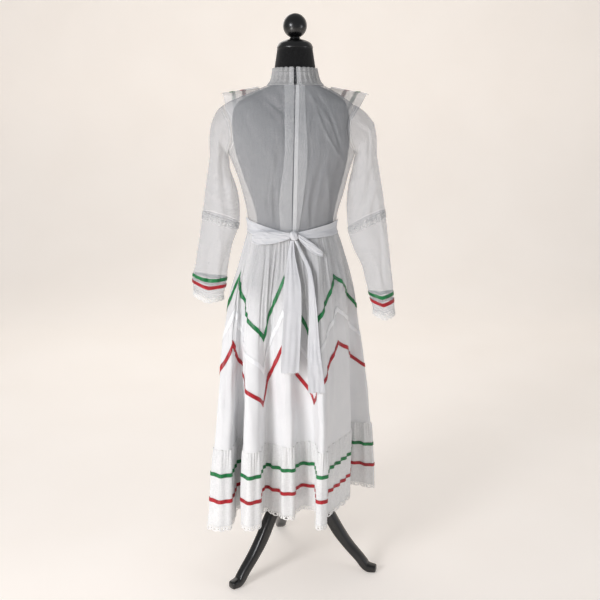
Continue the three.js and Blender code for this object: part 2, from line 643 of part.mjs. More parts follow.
// The farthest that the skirt reaches back between two x values, at a height.
function skirtBack(x0, x1, z) {
  const row = rowOf(SKIRT_ROWS, z);
  const reach = 16;
  const near = skirt.points[0].map((_, i) => onSheet(skirt, i, row).point)
    .filter((point) => point.x > x0 - reach && point.x < x1 + reach);
  return Math.max(...near.map((point) => point.y));
}

function tail(name, rows) {
  let back = 0;
  const table = rows.map((row) => {
    const y = Math.max(back + 1, skirtBack(row.x - row.half, row.x + row.half, row.z) + TAIL_CLEAR);
    back = row.z > BOW.z - 14 ? BOW.y : Math.max(y, BOW.y);
    return { ...row, y: back };
  });
  const columns = 2;
  const cloth = sheet(table.map((_, j) => j), columns, (i, j) => {
    const { x, half, z, y, twist } = table[j];
    const across = (i / columns) * 2 - 1;
    const bow = i === 1 ? TAIL_CURL : 0;
    return vec(x + across * half * Math.cos(twist * DEG), y + bow + across * half * Math.sin(twist * DEG), z);
  }, { core: (point) => point.clone().setY(0) });
  add(name, wall(cloth, 0, SASH_THICK), "cotton");
}

// One loop of the bow: a flat ring of sash that runs out from the knot and back.
function loop(name, { reach, drop, start, tip, back }) {
  const columns = 10;
  const place = (i, row) => {
    const angle = (i / columns) * 2 * Math.PI;
    const out = (1 - Math.cos(angle)) / 2;
    const sign = Math.sign(reach);
    const x = BOW.x + sign * (BOW.half + LOOP.fromKnot) + (reach - sign * BOW.half) * out;
    const y = BOW.y + back * out + LOOP.half * Math.sin(angle);
    return vec(x, y, BOW.z + drop * out + row * THREE.MathUtils.lerp(start, tip, out));
  };
  const core = (point) => vec(BOW.x + reach / 2, BOW.y + back / 2, point.z);
  const cloth = sheet([-1, 1], columns, place, { ring: true, level: true, core });
  add(name, wall(cloth, -SASH_THICK, 0), "cotton");
}

function sash() {
  for (const [name, sign] of [["left", -1], ["right", 1]]) {
    const columns = 7;
    const cloth = sheet([-1, 0, 1], columns, (i, row) => {
      const share = i / columns;
      const turn = sign * THREE.MathUtils.lerp(SASH.side, SASH.knotTurn, share);
      const half = THREE.MathUtils.lerp(SASH.half, BOW.half - 3, share ** 2);
      const z = THREE.MathUtils.lerp(SASH.sideZ[name], BOW.z, share) + row * half;
      const base = z > WAIST_Z ? bodicePoint(turn, z) : section(SKIRT, turn, z);
      return base.add(vec(base.x, base.y, 0).normalize().multiplyScalar(SASH.stand[name]));
    }, { level: true });
    add("sash_" + name, wall(cloth, 0, SASH_THICK), "cotton");
  }
  const knot = new THREE.SphereGeometry(1, 12, 7);
  knot.scale(BOW.half, BOW.deep, BOW.half + 2);
  knot.translate(BOW.x, BOW.y, BOW.z);
  add("sash_knot", clean(knot), "cotton");
  loop("bow_loop_left", LOOPS.left);
  loop("bow_loop_right", LOOPS.right);
  tail("bow_tail_left", TAILS.left);
  tail("bow_tail_right", TAILS.right);
}

// A solid through a stack of rings, closed flat at both ends.
function lofted(rings) {
  const count = rings[0].length;
  const points = rings.flat();
  const faces = [];
  for (let j = 0; j < rings.length - 1; j++)
    for (let i = 0; i < count; i++) {
      const [a, b] = [j * count + i, j * count + ((i + 1) % count)];
      faces.push([a, b, b + count], [a, b + count, a + count]);
    }
  for (const [ring, first] of [[rings[0], 0], [rings.at(-1), points.length - count]]) {
    const middle = ring.reduce((sum, point) => sum.add(point), vec(0, 0, 0)).divideScalar(count);
    points.push(middle);
    for (let i = 0; i < count; i++) {
      const [a, b] = [first + i, first + ((i + 1) % count)];
      faces.push(first === 0 ? [b, a, points.length - 1] : [a, b, points.length - 1]);
    }
  }
  return body(points, faces);
}

// A three.js geometry with its doubled vertices merged, so that it is one closed surface.
function clean(geometry) {
  geometry.deleteAttribute("normal");
  geometry.deleteAttribute("uv");
  const merged = mergeVertices(geometry, 1e-3);
  const index = Array.from(merged.index.array);
  const kept = [];
  for (let i = 0; i < index.length; i += 3) {
    const [a, b, c] = index.slice(i, i + 3);
    if (a !== b && b !== c && a !== c) kept.push(a, b, c);
  }
  merged.setIndex(kept);
  merged.computeVertexNormals();
  return merged;
}

function dressForm() {
  const columns = 20;
  const ring = (wide, deep, z, x = 0) => Array.from({ length: columns }, (_, i) => {
    const angle = (i / columns) * 2 * Math.PI;
    const shape = (v) => Math.sign(v) * Math.abs(v) ** squareness(z);
    return vec(x + wide * shape(Math.cos(angle)), deep * shape(Math.sin(angle)), z);
  });
  const torso = FORM.map(({ z, x, wide, deep }) => ring(wide, deep, z, x));
  for (const { z, wide } of NECK) torso.push(ring(wide, wide * 0.96, z));
  add("form_torso", lofted(torso), "jersey");
  const lathe = (name, profile, finish) => {
    const points = profile.map(([radius, z]) => new THREE.Vector2(radius, z));
    add(name, clean(new THREE.LatheGeometry(points, 12).rotateX(Math.PI / 2)), finish);
  };
  const top = NECK.at(-1);
  lathe("neck_cap", [
    [0, top.z + SEAM_GAP], [top.wide + 1, top.z + SEAM_GAP], [top.wide + 1, top.z + 6],
    [top.wide - 7, top.z + 17], [top.wide - 22, top.z + 24], [0, CAP_TOP_Z],
  ], "wood");
  const round = KNOB.radius * 1.02;
  const middle = KNOB.topZ - round;
  const arcOf = (degrees) => [round * Math.cos(degrees * DEG), middle + round * Math.sin(degrees * DEG)];
  lathe("finial_knob", [
    [0, CAP_TOP_Z + SEAM_GAP], [12, CAP_TOP_Z + SEAM_GAP], [12, arcOf(-62)[1]],
    ...[-50, -25, 0, 25, 50, 72].map(arcOf), [0, KNOB.topZ],
  ], "wood");
}

function stand() {
  const post = (name, radius, low, high) => {
    const geometry = new THREE.CylinderGeometry(radius, radius, high - low, 16).rotateX(Math.PI / 2);
    add(name, clean(geometry.translate(0, 0, (low + high) / 2)), "wood");
  };
  post("stand_pole", POLE.radius, HUB.topZ + SEAM_GAP, FORM[0].z - SEAM_GAP);
  post("stand_hub", HUB.radius, HUB.bottomZ, HUB.topZ);
  LEG.angles.forEach((angle, number) => {
    const path = LEG_PATH.map(({ out, z }) => new THREE.Vector2(out, z));
    const rings = LEG_PATH.map(({ thick, half }, j) => {
      const along = path[Math.min(j + 1, path.length - 1)].clone().sub(path[Math.max(j - 1, 0)]).normalize();
      if (j === 0 || j >= path.length - 2) along.set(1, 0);
      return LEG.corners.map(([across, over]) => {
        const point = path[j].clone().addScaledVector(new THREE.Vector2(-along.y, along.x), over * thick);
        return vec(point.x, across * half, Math.max(0, point.y)).applyAxisAngle(up, angle * DEG);
      });
    });
    add("leg_" + (number + 1), lofted(rings), "wood");
  });
}

dressForm();
stand();
bodice();
collar();
yoke();
sleeves();
zigzags();
flounce();
sash();

export default dress;
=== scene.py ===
"""A white cotton folklorico dress with satin ribbons, on a black dress form, seen from behind.

Sizes are millimetres up to the point where a mesh is made, and the dress faces -Y.
A turn is an angle in degrees round the body from centre back towards the wearer's right.
"""

import math

import bpy
import numpy as np
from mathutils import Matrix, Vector


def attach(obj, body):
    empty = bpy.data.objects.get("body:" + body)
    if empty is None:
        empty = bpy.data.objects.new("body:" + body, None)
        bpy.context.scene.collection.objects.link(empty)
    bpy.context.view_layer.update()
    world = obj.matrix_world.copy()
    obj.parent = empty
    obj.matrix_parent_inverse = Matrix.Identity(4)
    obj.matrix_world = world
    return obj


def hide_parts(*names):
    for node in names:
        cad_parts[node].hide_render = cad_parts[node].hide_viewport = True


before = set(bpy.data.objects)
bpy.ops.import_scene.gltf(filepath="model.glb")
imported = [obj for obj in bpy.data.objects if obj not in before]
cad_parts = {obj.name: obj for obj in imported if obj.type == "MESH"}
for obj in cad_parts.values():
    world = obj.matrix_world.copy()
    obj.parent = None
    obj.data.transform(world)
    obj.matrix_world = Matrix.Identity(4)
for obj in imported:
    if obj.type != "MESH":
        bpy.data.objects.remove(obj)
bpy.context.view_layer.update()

AXIS = np.array([-3.0, 20.0, 0.0])  # where the pole stands
WAIST_Z, SEAM_Z, FLOUNCE_BOTTOM_Z, HEM_Z = 1047.0, 425.0, 214.0, 199.0
NECK_Z = 1445  # where the collar is sewn on
SEAM_GAP = 0.3
SEAM_TURN = 0.08  # degrees: half of the gap at the side, shoulder and centre-back seams
CHEST = {"z": 1205, "square": 0.87}  # from here up the sections are this far from an ellipse
VOILE, RUFFLE, SATIN, SASH_THICK = 0.5, 0.6, 0.35, 0.8  # how thick each cloth is
RIBBON_WIDE = 11.0

# z, middle, half width, half depth
BODICE = np.array([
    [1047, 9, 125, 97], [1096, 8, 131, 103], [1150, 6, 145, 112], [1205, 7, 160, 119],
    [1262, 10, 180, 121], [1305, 14, 186, 117], [1350, 17, 187, 106], [1392, 18, 182, 88],
    [1412, 11, 150, 81], [1430, 4, 114, 75], [1445, -1, 82, 70]], float)
COLLAR = np.array([[1445.4, -1, 81, 69], [1460, -1, 70, 65], [1494, 0, 61, 59]], float)
SKIRT = np.array([
    [199, 0, 250, 206], [425, 0, 233, 188], [560, 1, 219, 174], [722, 5, 201, 158],
    [853, 6, 181, 143], [910, 6, 167, 133], [967, 6, 150, 119], [1047, 9, 125, 97]], float)
# z, half width, half depth, middle
FORM = np.array([
    [838, 132, 98, 0], [870, 146, 110, 0], [940, 133, 102, 0], [1050, 110, 86, 0], [1110, 118, 91, 1],
    [1200, 145, 105, 5], [1270, 162, 105, 9], [1340, 167, 93, 11], [1392, 158, 75, 11], [1412, 136, 73, 6],
    [1430, 104, 69, 2], [1445, 70, 64, 0], [1452, 64, 61, 0]], float)
ARMHOLE = {"low": 1262, "high": 1392, "open": 34}
# z, the centre-back opening's line, and its facing's left and right edges
OPENING = np.array([
    [1047, 8, 40, -9], [1130, 6, 43, -22], [1250, 3, 28, -34], [1350, 1, 27, -30],
    [1445, -1, 28, -27]], float)
HEM_TURN = -8  # where the hem's table starts, in degrees
HEM_LONG = 2600  # about the length of the hem's line
FIRST_SHARE, SIDE_SHARE = 0.014, 0.27  # the skirt's first column and its right side seam on that line
FOLD_GROWTH = 0.95  # how the folds deepen from waist to hem
# How the form below keeps the skirt's folds from falling in
HOLD = {"free": 560, "least": 0.4, "clear": 6}

# The hem's line seen from above, a point for each bend of its folds
HEM = np.array([
    [30, 134], [9, 139], [0, 112], [-4, 84], [-30, 69], [-57, 76], [-64, 128], [-62, 190],
    [-74, 206], [-88, 190], [-92, 132], [-128, 64], [-168, -20], [-166, -76], [-163, -120],
    [-205, -108], [-250, -88], [-244, -124], [-190, -146], [-196, -206], [-158, -212],
    [-118, -150], [-92, -226], [-48, -230], [-14, -162], [22, -234], [62, -228], [88, -158],
    [128, -218], [166, -202], [160, -134], [218, -136], [234, -96], [190, -44], [226, 4],
    [236, 70], [248, 140], [249, 194], [222, 208], [190, 204], [180, 140], [172, 62],
    [152, 66], [153, 140], [153, 194], [129, 207], [105, 194], [100, 130], [92, 84],
    [60, 106]], float)

# ring, centre out, centre back, z, half width, half depth, tilt
SLEEVES = {
    "left": np.array([
        [1, 212, 2, 1294, 46, 50, 62], [2, 214, 3, 1232, 34, 50, 30], [3, 210, 5, 1160, 46, 46, 12],
        [4, 212, 6, 1080, 54, 42, 18], [5, 231, 7, 1005, 48, 39, 8], [6, 243, 8, 940, 47, 36, 4],
        [7, 250, 8, 885, 50, 35, 4], [8, 254, 8, 843, 44, 33, 2]], float),
    "right": np.array([
        [1, 196, 2, 1296, 48, 50, 60], [2, 198, 3, 1232, 41, 50, 28], [3, 199, 5, 1160, 49, 46, 10],
        [4, 204, 6, 1075, 58, 43, 26], [5, 219, 7, 1000, 52, 39, 10], [6, 237, 8, 935, 42, 36, 4],
        [7, 248, 8, 865, 38, 34, 0], [8, 261, 8, 792, 32, 31, -4]], float),
}
ELBOW_RING, LAST_RING, CUFF_DEEP, CUFF_FLARE = 4, 8, 14, 0.06
SLEEVE_GATHER = {"head": 5, "top": 0.3, "elbow": 2.2, "rings": 1.5}


# Numbers

def smooth(at, low, high):
    t = np.clip((np.asarray(at, float) - low) / (high - low), 0, 1)
    return t * t * (3 - 2 * t)


def mix(a, b, t):
    return a + (b - a) * t


def read(table, at, column):
    """A smooth value of one column of a table, read at places along its first column."""
    at = np.asarray(at, float)
    key, value = table[:, 0], table[:, column]
    i = np.clip(np.searchsorted(key, at, side="left") - 1, 0, len(key) - 2)
    before, after = np.maximum(i - 1, 0), np.minimum(i + 2, len(key) - 1)
    span = key[i + 1] - key[i]
    t = np.clip((at - key[i]) / span, 0, 1)
    start = (value[i + 1] - value[before]) / (key[i + 1] - key[before]) * span
    end = (value[after] - value[i]) / (key[after] - key[i]) * span
    return ((2 * t**3 - 3 * t**2 + 1) * value[i] + (t**3 - 2 * t**2 + t) * start
            + (3 * t**2 - 2 * t**3) * value[i + 1] + (t**3 - t**2) * end)


def unit(v):
    return v / np.maximum(np.linalg.norm(v, axis=-1, keepdims=True), 1e-9)


def ripple(across, along, wide, tall, seed, waves=9):
    """Soft uneven relief from -1 to 1: waves of about these lengths that run together unevenly."""
    rng = np.random.default_rng(seed)
    out = np.zeros(np.broadcast(across, along).shape)
    for _ in range(waves):
        fx, fz = rng.normal(0, 1 / wide), rng.normal(0, 1 / tall)
        out += np.sin(2 * math.pi * (across * fx + along * fz) + rng.uniform(0, 2 * math.pi))
    return out / math.sqrt(waves)


def creases(across, along, rows):
    """Troughs (below 0) and ridges, given one by one. Each row is a line's two ends, its width and its depth.
    """
    out = np.zeros(np.broadcast(across, along).shape)
    for a0, z0, a1, z1, wide, deep in rows:
        da, dz = a1 - a0, z1 - z0
        t = ((across - a0) * da + (along - z0) * dz) / (da * da + dz * dz)
        bend = 0.05 * math.hypot(da, dz) * np.sin(np.clip(t, 0, 1) * math.pi + a0)
        off = ((across - a0) * dz - (along - z0) * da) / math.hypot(da, dz) + bend
        ends = smooth(t, -0.12, 0.22) * smooth(-t, -1.12, -0.78)
        out += deep * np.exp(-((off / wide) ** 2)) * ends
    return out


# Meshes

def grid_normals(points, ring, core=None):
    """Outward normals of a grid of points, rows by columns; core is what they point away from."""
    if ring:
        across = np.roll(points, -1, 1) - np.roll(points, 1, 1)
    else:
        across = np.gradient(points, axis=1)
    normals = unit(np.cross(across, np.gradient(points, axis=0)))
    centre = points * [0, 0, 1] if core is None else core
    if np.sum(normals * (points - centre)) < 0:
        normals = -normals
    return normals


def run_lengths(points, axis):
    """How far each column or row lies along the sheet, on average."""
    steps = np.linalg.norm(np.diff(points, axis=axis), axis=2).mean(1 - axis)
    return np.concatenate([[0], np.cumsum(steps)])


class Sheet:
    """A sheet of cloth as a grid of points with outward normals; a ring closes round its columns."""

    def __init__(self, points, ring=False, core=None, normals=None):
        self.points, self.ring = np.asarray(points, float), ring
        self.normals = grid_normals(self.points, ring, core) if normals is None else normals
        self.rows, self.count = self.points.shape[:2]
        closed = np.concatenate([self.points, self.points[:, :1]], 1) if ring else self.points
        self.across, self.along = run_lengths(closed, 1), run_lengths(self.points, 0)

    def at(self, column, row, lift=0.0):
        """Points on the sheet at fractional columns and rows, lifted off it."""
        column, row = np.broadcast_arrays(np.asarray(column, float), np.asarray(row, float))
        j = np.clip(np.floor(row).astype(int), 0, self.rows - 2)
        i = np.floor(column).astype(int)
        if not self.ring:
            i = np.clip(i, 0, self.count - 2)
        s, t = (column - i)[..., None], (row - j)[..., None]
        i, n = (i % self.count, (i + 1) % self.count) if self.ring else (i, i + 1)

        def blend(grid):
            return mix(mix(grid[j, i], grid[j, n], s), mix(grid[j + 1, i], grid[j + 1, n], s), t)

        return blend(self.points) + unit(blend(self.normals)) * np.asarray(lift)[..., None]

    def part(self, first, last):
        """Some columns of a ring as an open sheet."""
        take = np.arange(first, last + 1) % self.count
        return Sheet(self.points[:, take], normals=self.normals[:, take])


def make(name, points, faces, uvs, material, sharp=None):
    """A mesh object from millimetres; uvs hold one pair for each face corner, in metres."""
    mesh = bpy.data.meshes.new(name)
    mesh.from_pydata((points + AXIS) / 1000, [], faces)
    if uvs is not None:
        layer = mesh.uv_layers.new(name="Cloth")
        layer.data.foreach_set("uv", np.asarray(uvs, np.float32).ravel())
    mesh.polygons.foreach_set("use_smooth", np.ones(len(mesh.polygons), bool))
    if sharp is not None:
        ends = np.zeros(len(mesh.edges) * 2, np.int32)
        mesh.edges.foreach_get("vertices", ends)
        a, b = ends.reshape(-1, 2).T
        edge = mesh.attributes.new("sharp_edge", "BOOLEAN", "EDGE")
        edge.data.foreach_set("value", (sharp[a] > 0) & (sharp[a] == sharp[b]))
    mesh.materials.append(material)
    piece = bpy.data.objects.new(name, mesh)
    bpy.context.scene.collection.objects.link(piece)
    return piece


def shell(name, sheet, inner, outer, material):
    """The closed wall of cloth between two distances from a sheet, thin and smooth."""
    rows, count, ring = sheet.rows, sheet.count, sheet.ring
    points = np.concatenate([sheet.points + sheet.normals * by for by in (outer, inner)]).reshape(-1, 3)
    ids = np.arange(rows * count).reshape(rows, count)
    u, v = np.meshgrid(sheet.across / 1000, sheet.along / 1000)
    if ring:
        ids = np.concatenate([ids, ids[:, :1]], 1)
    uv = np.stack([u, v], -1)

    def corners(grid):
        return np.stack([grid[:-1, :-1], grid[:-1, 1:], grid[1:, 1:], grid[1:, :-1]], 2)

    quads = corners(ids).reshape(-1, 4)
    marks = corners(uv).reshape(-1, 4, 2)
    behind = rows * count

    def rim(line, line_uv):
        a, b = line[:-1], line[1:]
        c, d = line_uv[:-1], line_uv[1:]
        return np.stack([b, a, a + behind, b + behind], 1), np.stack([d, c, c, d], 1)

    edges = [rim(ids[0], uv[0]), rim(ids[-1][::-1], uv[-1][::-1])]
    if not ring:
        edges += [rim(ids[:, -1], uv[:, -1]), rim(ids[:, 0][::-1], uv[:, 0][::-1])]
    faces = np.concatenate([quads, quads[:, ::-1] + behind] + [e[0] for e in edges])
    uvs = np.concatenate([marks, marks[:, ::-1]] + [e[1] for e in edges])
    a, b, d = (points[quads[:, k]] for k in (0, 1, 3))
    facing = np.sum(np.cross(b - a, d - a) * sheet.normals.reshape(-1, 3)[quads[:, 0]])
    if facing < 0:
        faces, uvs = faces[:, ::-1], uvs[:, ::-1]
    sharp = np.zeros(len(points), int)
    for line in [ids[0], ids[-1]] + ([] if ring else [ids[:, 0], ids[:, -1]]):
        sharp[line], sharp[line + behind] = 1, 2
    return make(name, points, faces.tolist(), uvs, material, sharp)


# Materials

def linear(code):
    """An sRGB hex colour as linear values."""
    values = [int(code[k:k + 2], 16) / 255 for k in (1, 3, 5)]
    return [v / 12.92 if v <= 0.04045 else ((v + 0.055) / 1.055) ** 2.4 for v in values] + [1.0]


def node(tree, kind, settings=None, inputs=None):
    """Adds a node with its settings; an input is a value, or another node's output that feeds it."""
    made = tree.nodes.new(kind)
    for key, value in (settings or {}).items():
        setattr(made, key, value)
    for key, value in (inputs or {}).items():
        socket = made.inputs[key]
        if isinstance(value, bpy.types.NodeSocket):
            tree.links.new(value, socket)
        else:
            socket.default_value = value
    return made


def ramp(tree, factor, stops):
    made = node(tree, "ShaderNodeValToRGB", inputs={"Fac": factor})
    elements = made.color_ramp.elements
    for k, (place, colour) in enumerate(stops):
        element = elements[k] if k < 2 else elements.new(place)
        element.position, element.color = place, colour
    return made.outputs["Color"]


def material(name, **values):
    """A new material, its tree, its shader with these values on the sockets."""
    made = bpy.data.materials.new(name)
    made.use_nodes = True
    tree = made.node_tree
    shader = tree.nodes["Principled BSDF"]
    for key, value in values.items():
        shader.inputs[key.replace("_", " ")].default_value = value
    return made, tree, shader


def woven(name, light, dark, opacity, thread_mm, rough=0.86, slub=0.35, full=None):
    """Plain-woven cotton: slubs along both threads, soft clouding, and a bump from the weave.

    opacity is what one wall hides; None is cloth that hides all. The weave's threads are too fine
    to show, so they are drawn 2 pi times thread_mm apart. full is a low and a high z between which
    the cloth opens from close gathers to its own opacity.
    """
    made, tree, shader = material(name, Roughness=rough, Sheen_Weight=0.12, Sheen_Roughness=0.6,
                                  Specular_IOR_Level=0.22)
    cloth = node(tree, "ShaderNodeUVMap", {"uv_map": "Cloth"}).outputs["UV"]
    per_metre = 1000 / thread_mm
    warp, weft = (node(tree, "ShaderNodeTexWave", {"bands_direction": way}, {
        "Vector": cloth, "Scale": per_metre / 20, "Distortion": 0.7, "Detail": 2.0,
        "Detail Scale": 3.0}).outputs["Fac"] for way in "XY")
    weave = node(tree, "ShaderNodeMath", {"operation": "ADD"}, {0: warp, 1: weft})
    streaks = [node(tree, "ShaderNodeTexNoise", {"noise_dimensions": "3D"}, {
        "Vector": node(tree, "ShaderNodeMapping", inputs={"Vector": cloth, "Scale": scale}).outputs[0],
        "Scale": 1.0, "Detail": 3.0, "Roughness": 0.6}) for scale in ((950, 70, 1), (70, 950, 1))]
    slubs = node(tree, "ShaderNodeMath", {"operation": "ADD"}, {
        0: streaks[0].outputs["Fac"], 1: streaks[1].outputs["Fac"]})
    clouds = node(tree, "ShaderNodeTexNoise", inputs={
        "Vector": node(tree, "ShaderNodeTexCoord").outputs["Object"], "Scale": 22.0, "Detail": 4.0})
    tone = node(tree, "ShaderNodeMath", {"operation": "MULTIPLY_ADD"}, {
        0: slubs.outputs[0], 1: slub, 2: clouds.outputs["Fac"]})
    colour = ramp(tree, node(tree, "ShaderNodeMapRange", inputs={
        "Value": tone.outputs[0], "From Min": 0.12 + 0.7 * slub, "From Max": 0.9 + 1.3 * slub}).outputs[0],
        [(0.0, linear(dark)), (1.0, linear(light))])
    tree.links.new(colour, shader.inputs["Base Color"])
    height = node(tree, "ShaderNodeMath", {"operation": "MULTIPLY_ADD"}, {
        0: slubs.outputs[0], 1: 0.8, 2: weave.outputs[0]})
    bump = node(tree, "ShaderNodeBump", inputs={
        "Height": height.outputs[0], "Strength": 0.18, "Distance": thread_mm / 4000})
    tree.links.new(bump.outputs[0], shader.inputs["Normal"])
    if opacity is not None:
        # Each wall has two faces, so each face hides the root of what the wall lets through
        face = 1 - math.sqrt(1 - opacity)
        veil = node(tree, "ShaderNodeMapRange", inputs={
            "Value": slubs.outputs[0], "From Min": 0.7, "From Max": 1.3,
            "To Min": face * 0.86, "To Max": min(1.0, face * 1.14)})
        if full:
            # The gathers at the waist lie close, and the cloth opens as they spread below it
            height = node(tree, "ShaderNodeSeparateXYZ", inputs={
                "Vector": node(tree, "ShaderNodeTexCoord").outputs["Object"]}).outputs["Z"]
            veil = node(tree, "ShaderNodeMapRange", inputs={
                "Value": height, "From Min": full[0], "From Max": full[1],
                "To Min": 0.86, "To Max": veil.outputs[0]})
        tree.links.new(veil.outputs[0], shader.inputs["Alpha"])
    return made


def satin(name, light, dark):
    """Woven polyester satin: long floats give a soft streaked shine along the ribbon."""
    made, tree, shader = material(name, Roughness=0.36, Specular_IOR_Level=0.5, Sheen_Weight=0.2,
                                  Sheen_Roughness=0.35, Anisotropic=0.4)
    cloth = node(tree, "ShaderNodeUVMap", {"uv_map": "Cloth"}).outputs["UV"]
    # Floats drawn about 17 mm long and 0.7 mm wide, coarser than real ones
    floats = node(tree, "ShaderNodeTexNoise", inputs={
        "Vector": node(tree, "ShaderNodeMapping", inputs={
            "Vector": cloth, "Scale": (60, 1500, 1)}).outputs[0],
        "Scale": 1.0, "Detail": 2.0})
    folds = node(tree, "ShaderNodeTexNoise", inputs={
        "Vector": node(tree, "ShaderNodeTexCoord").outputs["Object"], "Scale": 70.0, "Detail": 3.0})
    # The colour holds painted light and shade: lighter streaks along the floats are painted sheen, and the
    # soft lighter and darker patches (folds) are painted light and shade, as where the ribbon's folds catch
    # the light or turn from it
    tone = node(tree, "ShaderNodeMath", {"operation": "MULTIPLY_ADD"}, {
        0: floats.outputs["Fac"], 1: 0.4, 2: folds.outputs["Fac"]})
    colour = ramp(tree, node(tree, "ShaderNodeMapRange", inputs={
        "Value": tone.outputs[0], "From Min": 0.45, "From Max": 0.95}).outputs[0],
        [(0.0, linear(dark)), (1.0, linear(light))])
    tree.links.new(colour, shader.inputs["Base Color"])
    bump = node(tree, "ShaderNodeBump", inputs={
        "Height": floats.outputs["Fac"], "Strength": 0.25, "Distance": 0.0003})
    tree.links.new(bump.outputs[0], shader.inputs["Normal"])
    return made


# Cotton voile, woven loose: thin enough that the black form shows grey through it
voile = woven("voile_cotton_woven", "#e4e6e9", "#d7d9dd", 0.48, 1.2)
# The same voile in gathered fullness, where each wall hides more
full_voile = woven("voile_cotton_gathered", "#fbfbfc", "#f1f2f4", 0.72, 1.3, full=(0.76, 0.9))
# Two layers of voile turned in and stitched, as at the back opening
double_voile = woven("voile_cotton_doubled", "#f8f9fa", "#eef0f2", 0.34, 1.2)
# Cotton batiste sash: opaque, soft, creased by its knot
batiste = woven("batiste_cotton_sash", "#dddee1", "#d0d1d5", None, 1.3)
# Cotton bobbin lace: matt thick thread in a net, a little warmer than the cloth
lace = woven("lace_cotton_corded", "#fafaf9", "#e9e9e9", None, 0.9, rough=0.92, slub=0.6)
# The same thread in the collar's fine net, too small to draw whole, so part of the ground shows through
fine_lace = woven("lace_cotton_fine_net", "#eeeeee", "#d6d7d8", 0.7, 0.9, rough=0.92, slub=0.6)
# The flounce's voile, in such full gathers that next to nothing shows through
flounce_voile = woven("voile_cotton_flounce", "#fcfcfc", "#f3f4f5", 0.95, 1.3)
satins = {"white": satin("ribbon_satin_white", "#ffffff", "#eceef2"),
          "green": satin("ribbon_satin_green", "#128a4a", "#075f31"),
          "red": satin("ribbon_satin_red", "#c81a2a", "#8d0f1b")}


def twisted_thread(name, light, dark, rough=0.72):
    """Three-ply sewing thread or coiled yarn: a spiral of light and shade that softens its gloss."""
    made, tree, shader = material(name, Roughness=rough, Specular_IOR_Level=0.35, Sheen_Weight=0.2)
    place = node(tree, "ShaderNodeTexCoord").outputs["Object"]
    plies = node(tree, "ShaderNodeTexWave", {"bands_direction": "DIAGONAL"}, {
        "Vector": place, "Scale": 70.0, "Distortion": 1.5, "Detail": 1.0})  # drawn about 5 mm apart
    tree.links.new(ramp(tree, plies.outputs["Fac"], [(0.1, linear(dark)), (0.8, linear(light))]),
                   shader.inputs["Base Color"])
    bump = node(tree, "ShaderNodeBump", inputs={
        "Height": plies.outputs["Fac"], "Strength": 0.3, "Distance": 0.0002})
    tree.links.new(bump.outputs[0], shader.inputs["Normal"])
    return made


sewing = {"cotton": twisted_thread("thread_cotton_white", "#f4f4f2", "#d3d4d6"),
          "white": twisted_thread("thread_polyester_white", "#fbfbfb", "#dcdee2", 0.5),
          "green": twisted_thread("thread_polyester_green", "#158f50", "#075f31", 0.5),
          "red": twisted_thread("thread_polyester_red", "#c8202f", "#8d101b", 0.5)}
# The zip's coil is nylon yarn, glossier than thread. Its grey is painted shade, for a coil that lies in the
# shadow of its gap, and it is painted darker between its turns
nylon = twisted_thread("zip_nylon_coil_painted_shade", "#8b8e93", "#4a4c50", 0.42)


def knit_jersey():
    """Black polyester jersey stretched on the form: wales, drawn coarse, that kill the shine."""
    made, tree, shader = material("jersey_polyester_black", Roughness=0.88, Specular_IOR_Level=0.2,
                                  Sheen_Weight=0.25, Sheen_Roughness=0.5)
    place = node(tree, "ShaderNodeTexCoord").outputs["Object"]
    wales = node(tree, "ShaderNodeTexWave", {"bands_direction": "X"}, {
        "Vector": place, "Scale": 28.0, "Distortion": 2.0, "Detail": 2.0, "Detail Scale": 2.0})  # 11 mm apart
    lint = node(tree, "ShaderNodeTexNoise", inputs={"Vector": place, "Scale": 240.0, "Detail": 3.0})
    colour = ramp(tree, lint.outputs["Fac"], [(0.35, linear("#0a0a0b")), (0.8, linear("#1b1b1d"))])
    tree.links.new(colour, shader.inputs["Base Color"])
    bump = node(tree, "ShaderNodeBump", inputs={
        "Height": wales.outputs["Fac"], "Strength": 0.25, "Distance": 0.0006})
    tree.links.new(bump.outputs[0], shader.inputs["Normal"])
    return made


def lacquered_wood(name, rough):
    """Turned and sawn beech under black lacquer: a clear gloss with faint grain and rubbed spots."""
    made, tree, shader = material(name, Specular_IOR_Level=0.5, Coat_Weight=0.35, Coat_Roughness=0.16)
    place = node(tree, "ShaderNodeTexCoord").outputs["Object"]
    grain = node(tree, "ShaderNodeTexNoise", inputs={
        "Vector": node(tree, "ShaderNodeMapping", inputs={
            "Vector": place, "Scale": (260, 260, 14)}).outputs[0],
        "Scale": 1.0, "Detail": 4.0, "Roughness": 0.65})
    rubbed = node(tree, "ShaderNodeTexNoise", inputs={"Vector": place, "Scale": 16.0, "Detail": 5.0})
    colour = ramp(tree, rubbed.outputs["Fac"], [(0.45, linear("#060607")), (0.85, linear("#151416"))])
    tree.links.new(colour, shader.inputs["Base Color"])
    gloss = node(tree, "ShaderNodeMapRange", inputs={
        "Value": rubbed.outputs["Fac"], "From Min": 0.3, "From Max": 0.75,
        "To Min": rough, "To Max": rough + 0.16})
    tree.links.new(gloss.outputs[0], shader.inputs["Roughness"])
    bump = node(tree, "ShaderNodeBump", inputs={
        "Height": grain.outputs["Fac"], "Strength": 0.08, "Distance": 0.0004})
    tree.links.new(bump.outputs[0], shader.inputs["Normal"])
    return made


jersey = knit_jersey()
lacquer = lacquered_wood("beech_lacquered_black", 0.26)
knob_lacquer = lacquered_wood("beech_turned_lacquered_black", 0.2)


# The form and its stand

def lathe(name, profile, material_made, count=72):
    """A turned body: profile rows are radius across, radius deep and height, from the bottom up."""
    profile = np.asarray(profile, float)
    angles = np.arange(count) / count * 2 * math.pi
    rings = np.stack([
        profile[:, :1] * np.cos(angles), profile[:, 1:2] * np.sin(angles),
        np.repeat(profile[:, 2:], count, 1)], -1)
    return closed_loft(name, rings, material_made)


